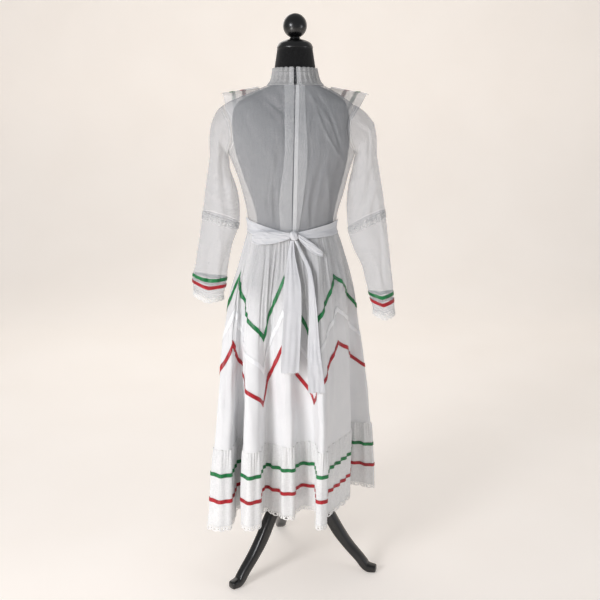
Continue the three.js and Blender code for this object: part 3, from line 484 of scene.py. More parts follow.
def closed_loft(name, rings, material_made):
    """A solid through rings of points, closed at both ends by a fan round a middle point."""
    rows, count = rings.shape[:2]
    middles = np.stack([rings[0].mean(0), rings[-1].mean(0)])
    points = np.concatenate([rings.reshape(-1, 3), middles])
    ids = np.arange(rows * count).reshape(rows, count)
    ids = np.concatenate([ids, ids[:, :1]], 1)
    quads = np.stack([ids[:-1, :-1], ids[:-1, 1:], ids[1:, 1:], ids[1:, :-1]], 2).reshape(-1, 4)
    low, top = rows * count, rows * count + 1
    faces = quads.tolist() + [[ids[0, k + 1], ids[0, k], low] for k in range(count)]
    faces += [[ids[-1, k], ids[-1, k + 1], top] for k in range(count)]
    faces = [[int(i) for i in face] for face in faces]
    a, b, d = (points[quads[:, k]] for k in (0, 1, 3))
    centre = rings.mean(1).repeat(count, 0)[quads[:, 0]]
    if np.sum(np.cross(b - a, d - a) * (a - centre)) < 0:
        faces = [face[::-1] for face in faces]
    return make(name, points, faces, None, material_made)


def settle(piece, *nodes, slot):
    """The piece rides on the part and stands for these nodes."""
    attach(piece, "root")
    if nodes:
        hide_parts(*nodes)
    return piece


def rounded(profile, steps=6):
    """A profile drawn smooth through its rows, with straight ends."""
    profile = np.asarray(profile, float)
    lengths = np.concatenate([[0], np.cumsum(np.linalg.norm(np.diff(profile, axis=0), axis=1))])
    table = np.column_stack([lengths, profile])
    at = np.concatenate([np.linspace(a, b, steps, endpoint=False) for a, b in zip(lengths, lengths[1:])]
                        + [lengths[-1:]])
    return np.stack([read(table, at, k) for k in range(1, profile.shape[1] + 1)], 1)


def squareness(z):
    return mix(1, CHEST["square"], smooth(z, WAIST_Z, CHEST["z"]))


def form_ring(wide, deep, z, x=0.0, count=96):
    angles = np.arange(count) / count * 2 * math.pi
    power = float(squareness(z))
    shape = [np.sign(f) * np.abs(f) ** power for f in (np.cos(angles), np.sin(angles))]
    return np.stack([x + wide * shape[0], deep * shape[1], np.full(count, float(z))], -1)


def torso():
    heights = np.concatenate([np.linspace(838, 1400, 36), np.linspace(1404, 1452, 13)])
    rings = [form_ring(read(FORM, z, 1) - 0.5, read(FORM, z, 2) - 0.5, z, read(FORM, z, 3)) for z in heights]
    # The lower edge turns under round a board, and the neck narrows to its cap
    rings[:0] = [form_ring(read(FORM, 838, 1) - off, read(FORM, 838, 2) - off, 838 - drop)
                 for off, drop in ((9, 0.0), (4, 0.3))]
    rings += [form_ring(wide, wide * 0.96, z) for wide, z in rounded([[62, 1456], [57, 1494], [49, 1545]], 8)]
    rings += [form_ring(46, 44, 1545.2)]
    settle(closed_loft("dress_form_torso", np.array(rings), jersey), "form_torso", slot="jersey")


def finial():
    cap = rounded([[50, 1545.6], [50.4, 1548], [49.6, 1551.5], [43, 1561], [27, 1568.5], [15, 1570.6]], 7)
    settle(lathe("neck_cap_turned", np.column_stack([cap[:, 0], cap[:, 0] * 0.985, cap[:, 1]]), lacquer),
           "neck_cap", slot="black_wood")
    radius, middle = 33.3, 1606.4
    neck = [[14.5, 1571.4], [15.2, 1573], [13.2, 1575.4], [12.4, 1577]]
    ball = [[radius * math.sin(a), middle - radius * math.cos(a)] for a in np.linspace(0.42, 3.08, 34)]
    outline = np.array(neck + ball)
    settle(lathe("finial_knob_turned", np.column_stack([outline[:, 0], outline[:, 0], outline[:, 1]]),
                 knob_lacquer), "finial_knob", slot="black_wood")


LEG_ANGLES = (43, 163, 283)
LEG_PATH = np.array([  # out, height, half thickness, half width
    [30.4, 254, 20, 12], [68, 226, 19, 15], [106, 172, 18, 17], [136, 122, 18, 17],
    [170, 78, 15, 17], [204, 42, 14, 16], [230, 14, 14, 16], [254, 11, 11, 14]], float)


def legs():
    path = rounded(LEG_PATH, 6)
    way = unit(np.gradient(path[:, :2], axis=0))
    way[0], way[-1] = (1, 0), (1, 0)
    flat = smooth(path[:, 0], 216, 236)[:, None]
    way = unit(mix(way, np.array([[1.0, 0.0]]), flat))
    # A rounded section: flat cheeks with broad rounded edges
    angles = np.arange(28) / 28 * 2 * math.pi
    corner = 0.62
    across = np.sign(np.cos(angles)) * np.abs(np.cos(angles)) ** corner
    over = np.sign(np.sin(angles)) * np.abs(np.sin(angles)) ** corner
    for number, turn in enumerate(LEG_ANGLES, 1):
        c, s = math.cos(math.radians(turn)), math.sin(math.radians(turn))
        rings = []
        for (out, z, thick, half), (dx, dz) in zip(path, way):
            r = out - dz * over * thick
            y = across * half
            height = np.maximum(0.0, z + dx * over * thick)
            rings.append(np.stack([r * c - y * s, r * s + y * c, height], -1))
        end = rings[-1]
        for share, reach in ((0.86, 2.6), (0.5, 3.6)):
            ring = end.mean(0) + (end - end.mean(0)) * share
            rings.append(ring + np.array([c, s, 0]) * reach)
        settle(closed_loft(f"stand_leg_{number}", np.array(rings), lacquer), f"leg_{number}",
               slot="black_wood")


def post_and_hub():
    pole = [[12.2, 296.6], [13, 297.6], [13, 836.8], [12.6, 837.4]]
    settle(lathe("stand_pole_turned", [[r, r, z] for r, z in pole], lacquer, 48), "stand_pole",
           slot="black_wood")
    # A collar that the legs are screwed to, with a rounded foot, a groove and a rounded shoulder
    hub = [[14, 214.2], [24, 215], [28.6, 218], [30, 223], [30, 283], [29.2, 284.5], [29.2, 286.5], [30, 288],
           [29, 292.4], [25, 295.2], [15.5, 295.8]]
    settle(lathe("stand_hub_turned", [[r, r, z] for r, z in hub], lacquer, 64), "stand_hub",
           slot="black_wood")


torso()
finial()
legs()
post_and_hub()


# The dress's own shapes

def section(table, turn, z, power=1.0):
    def shape(v):
        return np.sign(v) * np.abs(v) ** power

    turn, z = np.broadcast_arrays(np.radians(turn), np.asarray(z, float))
    return np.stack([read(table, z, 1) - read(table, z, 2) * shape(np.sin(turn)),
                     read(table, z, 3) * shape(np.cos(turn)), z], -1)


def bodice_point(turn, z):
    return section(BODICE, turn, z, squareness(z))


def bodice_normal(turn, z):
    across = bodice_point(turn + 2, z) - bodice_point(turn - 2, z)
    rise = bodice_point(turn, z + 4) - bodice_point(turn, z - 4)
    return unit(np.cross(across, rise))


def turn_at(x, z):
    """The turn, near centre back, at which the bodice lies at this x."""
    share = (read(BODICE, z, 1) - x) / read(BODICE, z, 2)
    return np.degrees(np.arcsin(np.sign(share) * np.abs(share) ** (1 / squareness(z))))


def hem_curve():
    """The hem's closed line: points and the share of its length that each lies at."""
    a, b, c, d = (np.roll(HEM, -k, 0) for k in (-1, 0, 1, 2))

    def span(p, q):
        return np.sum((q - p) ** 2, 1, keepdims=True) ** 0.25

    d0, d1, d2 = span(a, b), span(b, c), span(c, d)
    t1 = ((b - a) / d0 - (c - a) / (d0 + d1) + (c - b) / d1) * d1
    t2 = ((c - b) / d1 - (d - b) / (d1 + d2) + (d - c) / d2) * d1
    t = np.linspace(0, 1, 40, endpoint=False)[None, :, None]
    curve = (b[:, None] + t1[:, None] * t + (3 * (c - b) - 2 * t1 - t2)[:, None] * t**2
             + (2 * (b - c) + t1 + t2)[:, None] * t**3).reshape(-1, 2)
    curve = np.concatenate([curve, curve[:1]])
    lengths = np.concatenate([[0], np.cumsum(np.linalg.norm(np.diff(curve, axis=0), axis=1))])
    return curve, lengths / lengths[-1]


HEM_LINE, HEM_SHARES = hem_curve()


def skirt_point(share, z):
    share, z = np.broadcast_arrays(np.asarray(share, float), np.asarray(z, float))
    turn = share * 360 + HEM_TURN
    growth = ((WAIST_Z - np.minimum(z, WAIST_Z)) / (WAIST_Z - HEM_Z)) ** FOLD_GROWTH
    hem = np.stack([np.interp(share % 1, HEM_SHARES, HEM_LINE[:, k]) for k in (0, 1)], -1)
    fold = hem - section(SKIRT, turn, HEM_Z)[..., :2]
    point = section(SKIRT, turn, z)
    point[..., :2] += fold * growth[..., None]
    hold = mix(HOLD["least"], 1, smooth(z, HOLD["free"], FORM[0, 0]))
    size = np.stack([(read(FORM, z, k) + HOLD["clear"]) * hold for k in (1, 2)], -1)
    inside = np.hypot(*np.moveaxis(point[..., :2] / size, -1, 0))
    point[..., :2] /= np.minimum(inside, 1)[..., None]
    return point


# Bodice

def side_edge(z):
    """The turn where a back panel ends: the side seam, or the armhole's edge."""
    middle, reach = (ARMHOLE["high"] + ARMHOLE["low"]) / 2, (ARMHOLE["high"] - ARMHOLE["low"]) / 2
    share = np.sqrt(np.clip(1 - ((z - middle) / reach) ** 2, 0, 1))
    return 90 - SEAM_TURN - ARMHOLE["open"] * share


def opening_turn(line, z):
    return turn_at(read(OPENING, z, line), z)


# Creases as seen from behind: across (x), height, across, height, width, depth
BACK_CREASES = [
    [96, 1432, 22, 1352, 5, -1.6], [84, 1440, 30, 1384, 4, 1.4], [70, 1444, 26, 1402, 3.5, 1.2],
    [110, 1418, 30, 1322, 6, -1.1], [46, 1440, 20, 1416, 3, 1.0], [150, 1388, 96, 1280, 7, -0.9],
    [52, 1300, 58, 1080, 8, 1.6], [74, 1250, 62, 1060, 7, -1.6], [96, 1200, 82, 1056, 6, 1.3],
    [150, 1256, 186, 1272, 6, 1.6], [120, 1230, 104, 1062, 7, -1.3], [176, 1300, 150, 1240, 6, 1.2],
    [-44, 1424, -136, 1236, 4, 1.5], [-60, 1430, -124, 1268, 3.5, -1.4], [-36, 1440, -96, 1330, 4, 1.0],
    [-44, 1380, -40, 1180, 5, 1.3], [-70, 1260, -52, 1060, 8, -1.5], [-92, 1240, -84, 1062, 6, 1.4],
    [-120, 1230, -108, 1070, 7, -1.2], [-140, 1268, -166, 1284, 5, 1.5], [-18, 1180, -12, 1056, 4, -1.2],
    # The deep fold beside the facing's left half, and the slack that it takes up
    [34, 1420, 36, 1240, 4, -2.4], [38, 1270, 56, 1052, 6, -3.2], [58, 1180, 74, 1056, 5, 2.0],
    [-34, 1300, -26, 1100, 3, -1.8], [-50, 1240, -38, 1060, 5, 1.4],
]
FRONT_CREASES = [
    [-150, 1290, -90, 1240, 7, -1.5], [150, 1300, 84, 1236, 8, 1.6], [-60, 1180, -48, 1056, 8, 1.7],
    [-24, 1150, -20, 1056, 6, -1.6], [18, 1170, 20, 1056, 7, 1.6], [58, 1190, 50, 1060, 8, -1.7],
    [94, 1200, 82, 1062, 7, 1.4], [-96, 1200, -86, 1062, 6, -1.5], [-30, 1430, -60, 1370, 4, 1.2],
    [34, 1432, 66, 1366, 5, -1.2],
]


def bodice_sheet(columns, heights, start, end, seed, table):
    z = heights[:, None]
    turn = mix(start(z), end(z), np.linspace(0, 1, columns + 1)[None, :])
    points = bodice_point(turn, z)
    relief = 1.6 * creases(points[..., 0], points[..., 2], table)
    relief += 0.5 * ripple(points[..., 0] + points[..., 1], points[..., 2], 60, 190, seed)
    # The cloth is held flat at its seams, and gathers softly into the waist
    waist = smooth(-points[..., 2], -1130, -1052) * 0.8
    relief += waist * ripple(points[..., 0], points[..., 2] * 0, 13, 400, seed + 1)
    rim = smooth(np.linspace(0, 1, columns + 1) * columns, 0, 5) * smooth(
        np.linspace(1, 0, columns + 1) * columns, 0, 5)
    ends = smooth(-points[..., 2], -NECK_Z, 8 - NECK_Z) * smooth(points[..., 2], WAIST_Z, WAIST_Z + 7)
    normals = bodice_normal(turn, z)
    relief = np.clip(relief, -5, 2.6) * rim * ends
    return Sheet(points + normals * relief[..., None], core=points * [0, 0, 1])


BODICE_HEIGHTS = np.linspace(WAIST_Z, NECK_Z, 111)


def bodice():
    left = bodice_sheet(60, BODICE_HEIGHTS, lambda z: opening_turn(1, z) - SEAM_TURN,
                        lambda z: -side_edge(z), 11, BACK_CREASES)
    right = bodice_sheet(60, BODICE_HEIGHTS, lambda z: opening_turn(1, z) + SEAM_TURN, side_edge,
                         12, BACK_CREASES)
    front = bodice_sheet(96, BODICE_HEIGHTS, lambda z: 180 - side_edge(z), lambda z: 180 + side_edge(z),
                         13, FRONT_CREASES)
    for name, node_name, sheet, flat, area in (
            ("bodice_back_left", "back_left", left, (0.25, 0.41), 0.077),
            ("bodice_back_right", "back_right", right, (0.25, 0.41), 0.074),
            ("bodice_front", "front_bodice", front, (0.45, 0.41), 0.142)):
        piece = settle(shell(name, sheet, -VOILE, 0, voile), node_name, slot="cotton")
    facing()
    return left, right, front


def facing():
    """The doubled strip at centre back: folded edges, and the zip hidden in its middle."""
    z = BODICE_HEIGHTS[:, None]
    edges = [opening_turn(k, z) for k in (2, 1, 3)]
    across = np.linspace(-1, 1, 49)[None, :]
    turn = np.where(across < 0, mix(edges[1], edges[0], -across), mix(edges[1], edges[2], across))
    points = bodice_point(turn, z)
    # Soft swell of each half, a crease beside the zip, and a slight pucker from its stitching
    swell = 0.9 * np.sin(np.abs(across) * math.pi) + 0.35 * ripple(points[..., 0], points[..., 2], 9, 34, 21)
    drawn = np.sin(points[..., 2] / 4.3 + 2 * np.sin(points[..., 2] / 31))
    pucker = 0.5 * drawn * np.exp(-((across / 0.3) ** 2))
    normals = bodice_normal(turn, z)
    lifted = points + normals * (1.2 + swell + pucker)[..., None]
    sheet = Sheet(lifted, core=points * [0, 0, 1])
    half = sheet.count // 2
    for name, first, last in (("zip_facing_left", 0, half - 1),
                              ("zip_facing_right", half + 1, sheet.count - 1)):
        part = Sheet(sheet.points[:, first:last + 1], normals=sheet.normals[:, first:last + 1])
        piece = settle(shell(name, part, 0, 0.9, double_voile), "zip_facing", slot="cotton")
    # The zip's tape shows through the right half as a paler strip beside its coil
    turn = turn_at(read(OPENING, z, 1) + np.linspace(-1.3, -11.5, 7)[None, :], z)
    tape = Sheet(bodice_point(turn, z), normals=bodice_normal(turn, z))
    piece = settle(shell("zip_tape", tape, 0.25, 0.8, full_voile), slot="cotton")


bodice_sheets = bodice()


# Sleeves

CUFF_SAG = {"left": (20, 9), "right": (14, 12)}  # how much the cuff's outer and inner sides ride up
CUFF_RIBBONS = (("green", 54), ("red", 32))  # how far each lies above the cuff
UPPER_RINGS = np.concatenate([np.linspace(0, 1, 18)[:-1], np.linspace(1, 3.994, 50)])
LOWER_RINGS = np.linspace(4.006, 8, 70)
RING_LONG = 60  # about how far one ring of the table lies from the next

# Across (mm round the sleeve from its outer side) and along (60 mm to a ring): ends, width, depth
SLEEVE_CREASES = {
    "left": [
        [30, 20, 60, 250, 7, -2.4], [62, 60, 78, 236, 8, 2.6], [100, 40, 92, 200, 7, -2.2],
        [118, 70, 104, 230, 8, 2.2], [20, 180, 80, 214, 6, 1.8], [46, 200, 110, 226, 6, -1.8],
        [40, 262, 48, 470, 8, 2.4], [70, 268, 66, 440, 7, -2.6], [96, 262, 88, 420, 8, 2.6],
        [118, 268, 112, 450, 7, -2.0], [140, 260, 128, 380, 7, 1.8], [16, 280, 22, 420, 7, -1.6],
        [200, 60, 210, 250, 9, 2.2], [240, 40, 236, 220, 8, -2.2], [196, 270, 204, 440, 8, 2.2],
        [238, 262, 240, 430, 8, -2.2], [262, 280, 262, 460, 7, 1.8]],
    "right": [
        [22, 30, 34, 170, 7, -2.6], [44, 16, 60, 140, 6, 2.6], [70, 20, 84, 120, 6, -2.0],
        [34, 160, 70, 238, 7, 2.8], [56, 150, 92, 232, 6, -2.4], [18, 110, 52, 150, 6, 1.8],
        [90, 150, 140, 172, 6, 1.8], [104, 176, 132, 226, 7, -2.0], [124, 60, 120, 200, 8, 1.8],
        [30, 262, 34, 430, 7, 2.4], [52, 262, 56, 450, 6, -2.6], [74, 268, 72, 470, 6, 2.6],
        [98, 262, 92, 440, 6, -2.4], [120, 268, 108, 400, 7, 2.0], [12, 300, 14, 460, 5, -1.6],
        [190, 50, 200, 240, 9, -2.2], [232, 50, 226, 220, 8, 2.2], [206, 268, 204, 450, 8, -2.2],
        [246, 262, 244, 420, 8, 2.2]],
}


def sleeve_middle(side, ring):
    table, ring = SLEEVES[side], np.clip(ring, 1, LAST_RING)
    sign = 1 if side == "left" else -1
    return np.stack([sign * read(table, ring, 1), read(table, ring, 2), read(table, ring, 3)], -1)


def sleeve_point(side, angle, ring):
    sign = 1 if side == "left" else -1
    angle, ring = np.broadcast_arrays(np.asarray(angle, float), np.asarray(ring, float))
    c, s = np.cos(angle), np.sin(angle)
    turn = -sign * (90 - ARMHOLE["open"] * s)
    z = (ARMHOLE["high"] + ARMHOLE["low"]) / 2 + (ARMHOLE["high"] - ARMHOLE["low"]) / 2 * c
    armhole = bodice_point(turn, z) + bodice_normal(turn, z) * 2.0
    x, y, height, half, deep, tilt = (read(SLEEVES[side], np.clip(ring, 1, LAST_RING), k)
                                       for k in range(1, 7))
    near = np.clip(1 - np.abs(ring - 1), 0, 1)
    elbow = np.clip(1 - np.abs(ring - ELBOW_RING) / SLEEVE_GATHER["rings"], 0, 1)
    wave = (near * SLEEVE_GATHER["head"] * np.maximum(0, c + SLEEVE_GATHER["top"])
            + elbow * SLEEVE_GATHER["elbow"]) * np.cos(8 * angle)
    past = np.maximum(0, ring - LAST_RING)
    flare = 1 + past * CUFF_FLARE
    reach = (half * flare + wave) * c
    tilt = np.radians(tilt)
    outer, inner = CUFF_SAG[side]
    sag = np.where(c > 0, outer * c, -inner * c) * smooth(ring, 5.5, LAST_RING)
    point = np.stack([sign * (x + reach * np.cos(tilt)), y + (deep * flare + wave) * s,
                      height + reach * np.sin(tilt) - past * CUFF_DEEP + sag], -1)
    return mix(armhole, point, np.clip(ring, 0, 1)[..., None])


def sleeve_sheet(side, rings, columns=112, lace=False):
    angle = np.arange(columns)[None, :] / columns * 2 * math.pi
    ring = rings[:, None]
    points = sleeve_point(side, angle, ring)
    core = sleeve_middle(side, ring)
    across, along = np.degrees(angle) * 0.8, ring * RING_LONG
    relief = 0
    if not lace:
        relief = 1.5 * creases(across, along, SLEEVE_CREASES[side])
        relief = relief + 0.9 * ripple(np.cos(angle) * 46, along + np.sin(angle) * 46, 40, 110, 31)
    # Fine gathers at the head and on both sides of the elbow's seam, flat at the cuff
    head = np.clip(1 - ring / 0.8, 0, 1) * np.clip(np.cos(angle) + 0.35, 0, 1)
    seam = np.exp(-(((ring - ELBOW_RING) / 0.42) ** 2))
    relief = relief + (1.5 * head + 0.8 * seam) * np.sin(26 * angle + 1.6 * np.sin(3 * angle) + ring)
    hold = smooth(ring, 0.0, 0.16) * (1 - 0.75 * smooth(ring, 6.9, 7.4))
    normals = grid_normals(points, True, core)
    bulge = 7 * np.sin(np.clip(ring, 0, 1) * math.pi) * np.clip(np.cos(angle), 0, 1)
    relief = np.clip(relief, -4, 4.5) * hold + bulge
    return Sheet(points + normals * relief[..., None], ring=True, core=core)


seams = {}


def seam(colour, sheet, column, row, lift):
    """Keeps a line on a sheet, along which stitches of this thread are laid at the end."""
    line = sheet.at(column, row, lift)
    if sheet.ring:
        line = np.concatenate([line, line[:1]])
    seams.setdefault(colour, []).append(line)


def ribbon_on(name, stands_for, colour, sheet, low, high, lift, columns, steps=4):
    """A ribbon sewn on a sheet: its edges are row numbers, one for each of its columns."""
    share = np.linspace(0, 1, steps + 1)[:, None]
    rows = mix(np.asarray(low)[None, :], np.asarray(high)[None, :], share)
    crown = 0.25 * np.sin(share * math.pi)
    wave = 0.25 * np.sin(columns * 2.1 + 3 * np.sin(columns * 0.37))[None, :] * (0.4 + share)
    points = sheet.at(columns[None, :], rows, lift + crown + wave)
    centre = sheet.at(columns[None, :], rows, -30)
    ribbon = Sheet(points, ring=sheet.ring, core=centre)
    for edge in (0.14, 0.86):
        seam(colour, ribbon, np.arange(len(columns)), edge * steps, SATIN + 0.15)
    return settle(shell(name, ribbon, 0, SATIN, satins[colour]), stands_for, slot=f"{colour}_satin")


def eyelet_holes(mid, band):
    """Where a scalloped edging is open: an eyelet in each scallop, small ones between, a ladder above."""
    eyelet = ((mid - 0.5) / 0.2) ** 2 + ((band - 0.6) / 0.2) ** 2 < 1
    between = ((np.abs(mid - 0.5) - 0.5) / 0.1) ** 2 + ((band - 0.62) / 0.14) ** 2 < 1
    return eyelet | between | (np.abs(band - 0.19) < 0.09) & (np.sin(mid * 8 * math.pi) > 0)


def net_holes(mid, band):
    """Where the collar's lace is open: a small square net round sprigs of close work."""
    net = (np.sin(mid * 10 * math.pi + 0.3) > 0) & (np.sin(band * 30 * math.pi + 0.3) > 0)
    close = (band < 0.05) | (band > 0.95)
    for x, y, wide, tall in ((0.5, 0.24, 0.26, 0.1), (0.5, 0.5, 0.14, 0.2), (0.24, 0.62, 0.16, 0.08),
                             (0.76, 0.62, 0.16, 0.08), (0.5, 0.84, 0.34, 0.06)):
        close = close | (((mid - x) / wide) ** 2 + ((band - y) / tall) ** 2 < 1)
    return net & ~close


def lace_edge(name, sheet, repeats, material_made, thick=0.7, cells=12, bands=8, scallop=0.3,
              holes=eyelet_holes):
    """Lace sewn to an edge, its row 0 being the sewn side, with a scalloped rim."""
    u = np.arange(repeats * cells + 1)
    v = np.linspace(0, 1, bands + 1)[:, None]
    phase = u / cells % 1
    curve = np.abs(np.sin(phase * math.pi)) ** 0.7
    depth = v * (1 - scallop * (1 - curve)[None, :])
    last = sheet.count if sheet.ring else sheet.count - 1
    column = u / (repeats * cells) * last
    points = sheet.at(column[None, :], depth * (sheet.rows - 1))
    mid = ((np.arange(repeats * cells) + 0.5) / cells % 1)[None, :]
    band = ((np.arange(bands) + 0.5) / bands)[:, None]
    solid = ~holes(mid, band)
    ids = np.arange((bands + 1) * len(u)).reshape(bands + 1, -1)
    quads = np.stack([ids[:-1, :-1], ids[:-1, 1:], ids[1:, 1:], ids[1:, :-1]], 2)[solid]
    flat = points.reshape(-1, 3)
    a, b, d = (flat[quads[:, k]] for k in (0, 1, 3))
    away = a - flat.mean(0) if sheet.ring else sheet.normals[0].mean(0)
    if np.sum(np.cross(b - a, d - a) * away) < 0:
        quads = quads[:, ::-1]
    uv = np.stack([np.broadcast_to(column * sheet.across[-1] / last / 1000, points.shape[:2]),
                   depth * sheet.along[-1] / 1000], -1).reshape(-1, 2)
    used, where = np.unique(quads, return_inverse=True)
    quads = where.reshape(quads.shape)
    piece = make(name, flat[used], quads.tolist(), uv[used][quads], material_made)
    wall = piece.modifiers.new("wall", "SOLIDIFY")
    wall.thickness, wall.offset = thick / 1000, 0
    return apply_all(piece)


def apply_all(piece):
    """The piece's modifiers made part of its mesh."""
    made = bpy.data.meshes.new_from_object(piece.evaluated_get(bpy.context.evaluated_depsgraph_get()))
    old = piece.data
    piece.modifiers.clear()
    piece.data = made
    made.name = piece.name
    bpy.data.meshes.remove(old)
    return piece


def sleeves():
    sheets = {}
    for side in ("left", "right"):
        upper, lower = sleeve_sheet(side, UPPER_RINGS), sleeve_sheet(side, LOWER_RINGS)
        for name, node_name, sheet, flat in (
                (f"sleeve_upper_{side}", f"upper_sleeve_{side}", upper, (0.33, 0.28)),
                (f"sleeve_lower_{side}", f"lower_sleeve_{side}", lower, (0.29, 0.26))):
            piece = settle(shell(name, sheet, -VOILE, 0, voile), node_name, slot="cotton")
        heights = read(SLEEVES[side], LOWER_RINGS, 3)
        columns = np.arange(lower.count * 1.0)
        for colour, above in CUFF_RIBBONS:
            edges = [np.full(lower.count, np.interp(-(heights[-1] + above + way * RIBBON_WIDE / 2), -heights,
                                                    np.arange(lower.rows))) for way in (-1, 1)]
            piece = ribbon_on(f"cuff_ribbon_{colour}_{side}", f"cuff_{colour}_{side}", colour, lower, *edges,
                              0.5, columns)
        edge = sleeve_sheet(side, np.linspace(8.02, 9, 5), columns=96, lace=True)
        piece = settle(lace_edge(f"cuff_lace_{side}", edge, 16, lace), f"cuff_lace_back_{side}",
                       f"cuff_lace_front_{side}", slot="lace")
        band = lower.at(np.arange(lower.count)[None, :], np.linspace(0.3, 4.8, 5)[:, None], 1.3)
        band = Sheet(band, ring=True, core=sleeve_middle(side, np.linspace(4, 4.3, 5))[:, None])
        piece = settle(lace_edge(f"elbow_lace_band_{side}", band, 18, fine_lace, thick=0.5, scallop=0.22),
                       f"elbow_lace_{side}", slot="lace")
        sheets[side] = upper, lower
    return sheets


sleeve_sheets = sleeves()


# Yoke ruffle

YOKE = {"low": 1300, "high": 1438, "half": 96, "wide": 104, "closer": 1.5, "wave": 5, "flare": 0.14,
        "set": 1.8, "rise": 3.5, "waves": 12}
YOKE_RIBBONS = (("red", 0.43), ("green", 0.72))  # where each lies, as a share of the ruffle's width


def yoke():
    even = np.linspace(-1, 1, 265)
    t = np.sign(even) * (1 - (1 - np.abs(even)) ** YOKE["closer"])
    z = YOKE["low"] + (YOKE["high"] - YOKE["low"]) * (1 - np.cos(t * math.pi / 2))
    out = np.minimum(1, YOKE["half"] * np.sin(np.abs(t) * math.pi / 2) ** 0.8 / read(BODICE, z, 2))
    turn = 180 + np.sign(t) * np.degrees(np.arcsin(out ** (1 / squareness(z))))
    turn = np.where(np.abs(t) > 0.99, 180 + np.sign(t) * 90, turn)
    normal = bodice_normal(turn, z)
    rise = YOKE["set"] + YOKE["rise"] * smooth(np.abs(t), 0.7, 0.96)
    start = bodice_point(turn, z) + normal * rise[:, None]
    down = unit(bodice_point(turn, z - 40) - bodice_point(turn, z))
    side = np.stack([np.sign(t), np.full(len(t), -0.12), np.full(len(t), -0.36)], -1)
    share = (np.abs(t) ** 2.5)[:, None]
    way = unit(down * (1 - share) + side * share) + normal * YOKE["flare"]
    w = np.linspace(0, 1, 30)[:, None]
    column = (even + 1) * YOKE["waves"]
    wave = YOKE["wave"] * w * (1 - 0.6 * np.cos(math.pi * column))
    # Fine gathers at the seam that run out into the ruffle's waves
    fine = 1.1 * np.sin(column * 8.3 + 2 * np.sin(column)) * np.exp(-w * 3.2) * smooth(w, 0, 0.08)
    soft = 2.0 * w * ripple(column * 12, w * 100, 60, 90, 41)
    points = start[None] + way[None] * (YOKE["wide"] * w)[..., None]
    points = points + normal[None] * (wave + fine + soft)[..., None]
    sheet = Sheet(points, core=points * [0, 0, 1] - [0, 0, 60])
    piece = settle(shell("yoke_ruffle_gathered", sheet, -RUFFLE, 0, full_voile), "yoke_ruffle",
                   slot="cotton")
    columns = np.linspace(0, sheet.count - 1, 300)
    half = RIBBON_WIDE / 2 / YOKE["wide"]
    for colour, at in YOKE_RIBBONS:
        edges = [np.full(len(columns), (at + out * half) * (sheet.rows - 1)) for out in (-1, 1)]
        piece = ribbon_on(f"yoke_ribbon_{colour}", f"yoke_{colour}", colour, sheet, *edges, 0.9, columns)
    return sheet


yoke_sheet = yoke()


# Skirt

SKIRT_COLUMNS = 60  # two to each of the waist's soft gathers
SKIRT_MESH = {"columns": 660, "rows": 68}
SKIRT_HEIGHTS = np.linspace(SEAM_Z + SEAM_GAP, WAIST_Z - SEAM_GAP, SKIRT_MESH["rows"])
# The skirt's columns where the zigzags turn: peak, valley, peak
ZIGZAG_TURNS = np.array([-1, 3, 9, 20, 26, 31, 35, 43, 47, 56, 59])
ZIGZAG_DEEP = 168
ZIGZAGS = (("green", 915), ("white", 820), ("red", 722))

# Soft folds, by share of the hem: share, height, share, height, width in mm, depth
SKIRT_FOLDS = [
    [0.008, 980, 0.004, 640, 9, 2.2], [0.018, 1010, 0.014, 760, 5, -1.8], [0.985, 960, 0.99, 460, 8, 1.8],
    [0.975, 1010, 0.978, 700, 6, -2.0], [0.965, 1000, 0.972, 820, 4, 1.6], [0.035, 1000, 0.03, 560, 10, -2.2],
    [0.055, 1020, 0.05, 700, 5, 1.9], [0.075, 1010, 0.072, 600, 7, -2.2], [0.1, 980, 0.1, 520, 7, 2.0],
    [0.125, 1020, 0.118, 640, 5, -1.9], [0.14, 1000, 0.135, 480, 9, 2.2], [0.155, 1010, 0.16, 760, 5, -1.6],
    [0.19, 990, 0.195, 520, 10, 2.2], [0.215, 1000, 0.21, 700, 7, -2.0], [0.245, 980, 0.24, 560, 9, 2.0],
    [0.27, 1010, 0.275, 640, 7, -2.0], [0.31, 980, 0.3, 500, 9, 2.2], [0.35, 1010, 0.345, 560, 8, -2.2],
    [0.38, 980, 0.385, 520, 9, 2.2], [0.42, 1000, 0.425, 600, 8, -2.0], [0.46, 980, 0.452, 500, 10, 2.2],
    [0.5, 1010, 0.505, 560, 8, -2.2], [0.535, 980, 0.53, 520, 9, 2.0], [0.57, 1000, 0.575, 620, 8, -2.0],
    [0.61, 980, 0.6, 500, 10, 2.2], [0.65, 1000, 0.655, 560, 8, -2.2], [0.69, 980, 0.695, 520, 9, 2.2],
    [0.735, 1010, 0.73, 600, 8, -2.0], [0.77, 960, 0.772, 480, 9, 2.0], [0.8, 1010, 0.797, 700, 6, -2.0],
    [0.82, 970, 0.817, 500, 7, 1.8], [0.86, 1000, 0.863, 640, 6, -2.0], [0.885, 1010, 0.882, 560, 6, 1.9],
    [0.91, 980, 0.912, 480, 8, 2.0], [0.928, 1010, 0.93, 720, 5, -1.7], [0.945, 1000, 0.948, 560, 6, 1.6],
]


def lay_folds(share, z, rows):
    """Folds given one by one on a closed ring, read on both sides of its start."""
    relief = 0
    for turn in (-1, 0, 1):
        table = [[(s0 + turn) * HEM_LONG, z0, (s1 + turn) * HEM_LONG, z1, wide * 1.6, deep]
                 for s0, z0, s1, z1, wide, deep in rows]
        relief = relief + creases(share * HEM_LONG, z, table)
    return relief


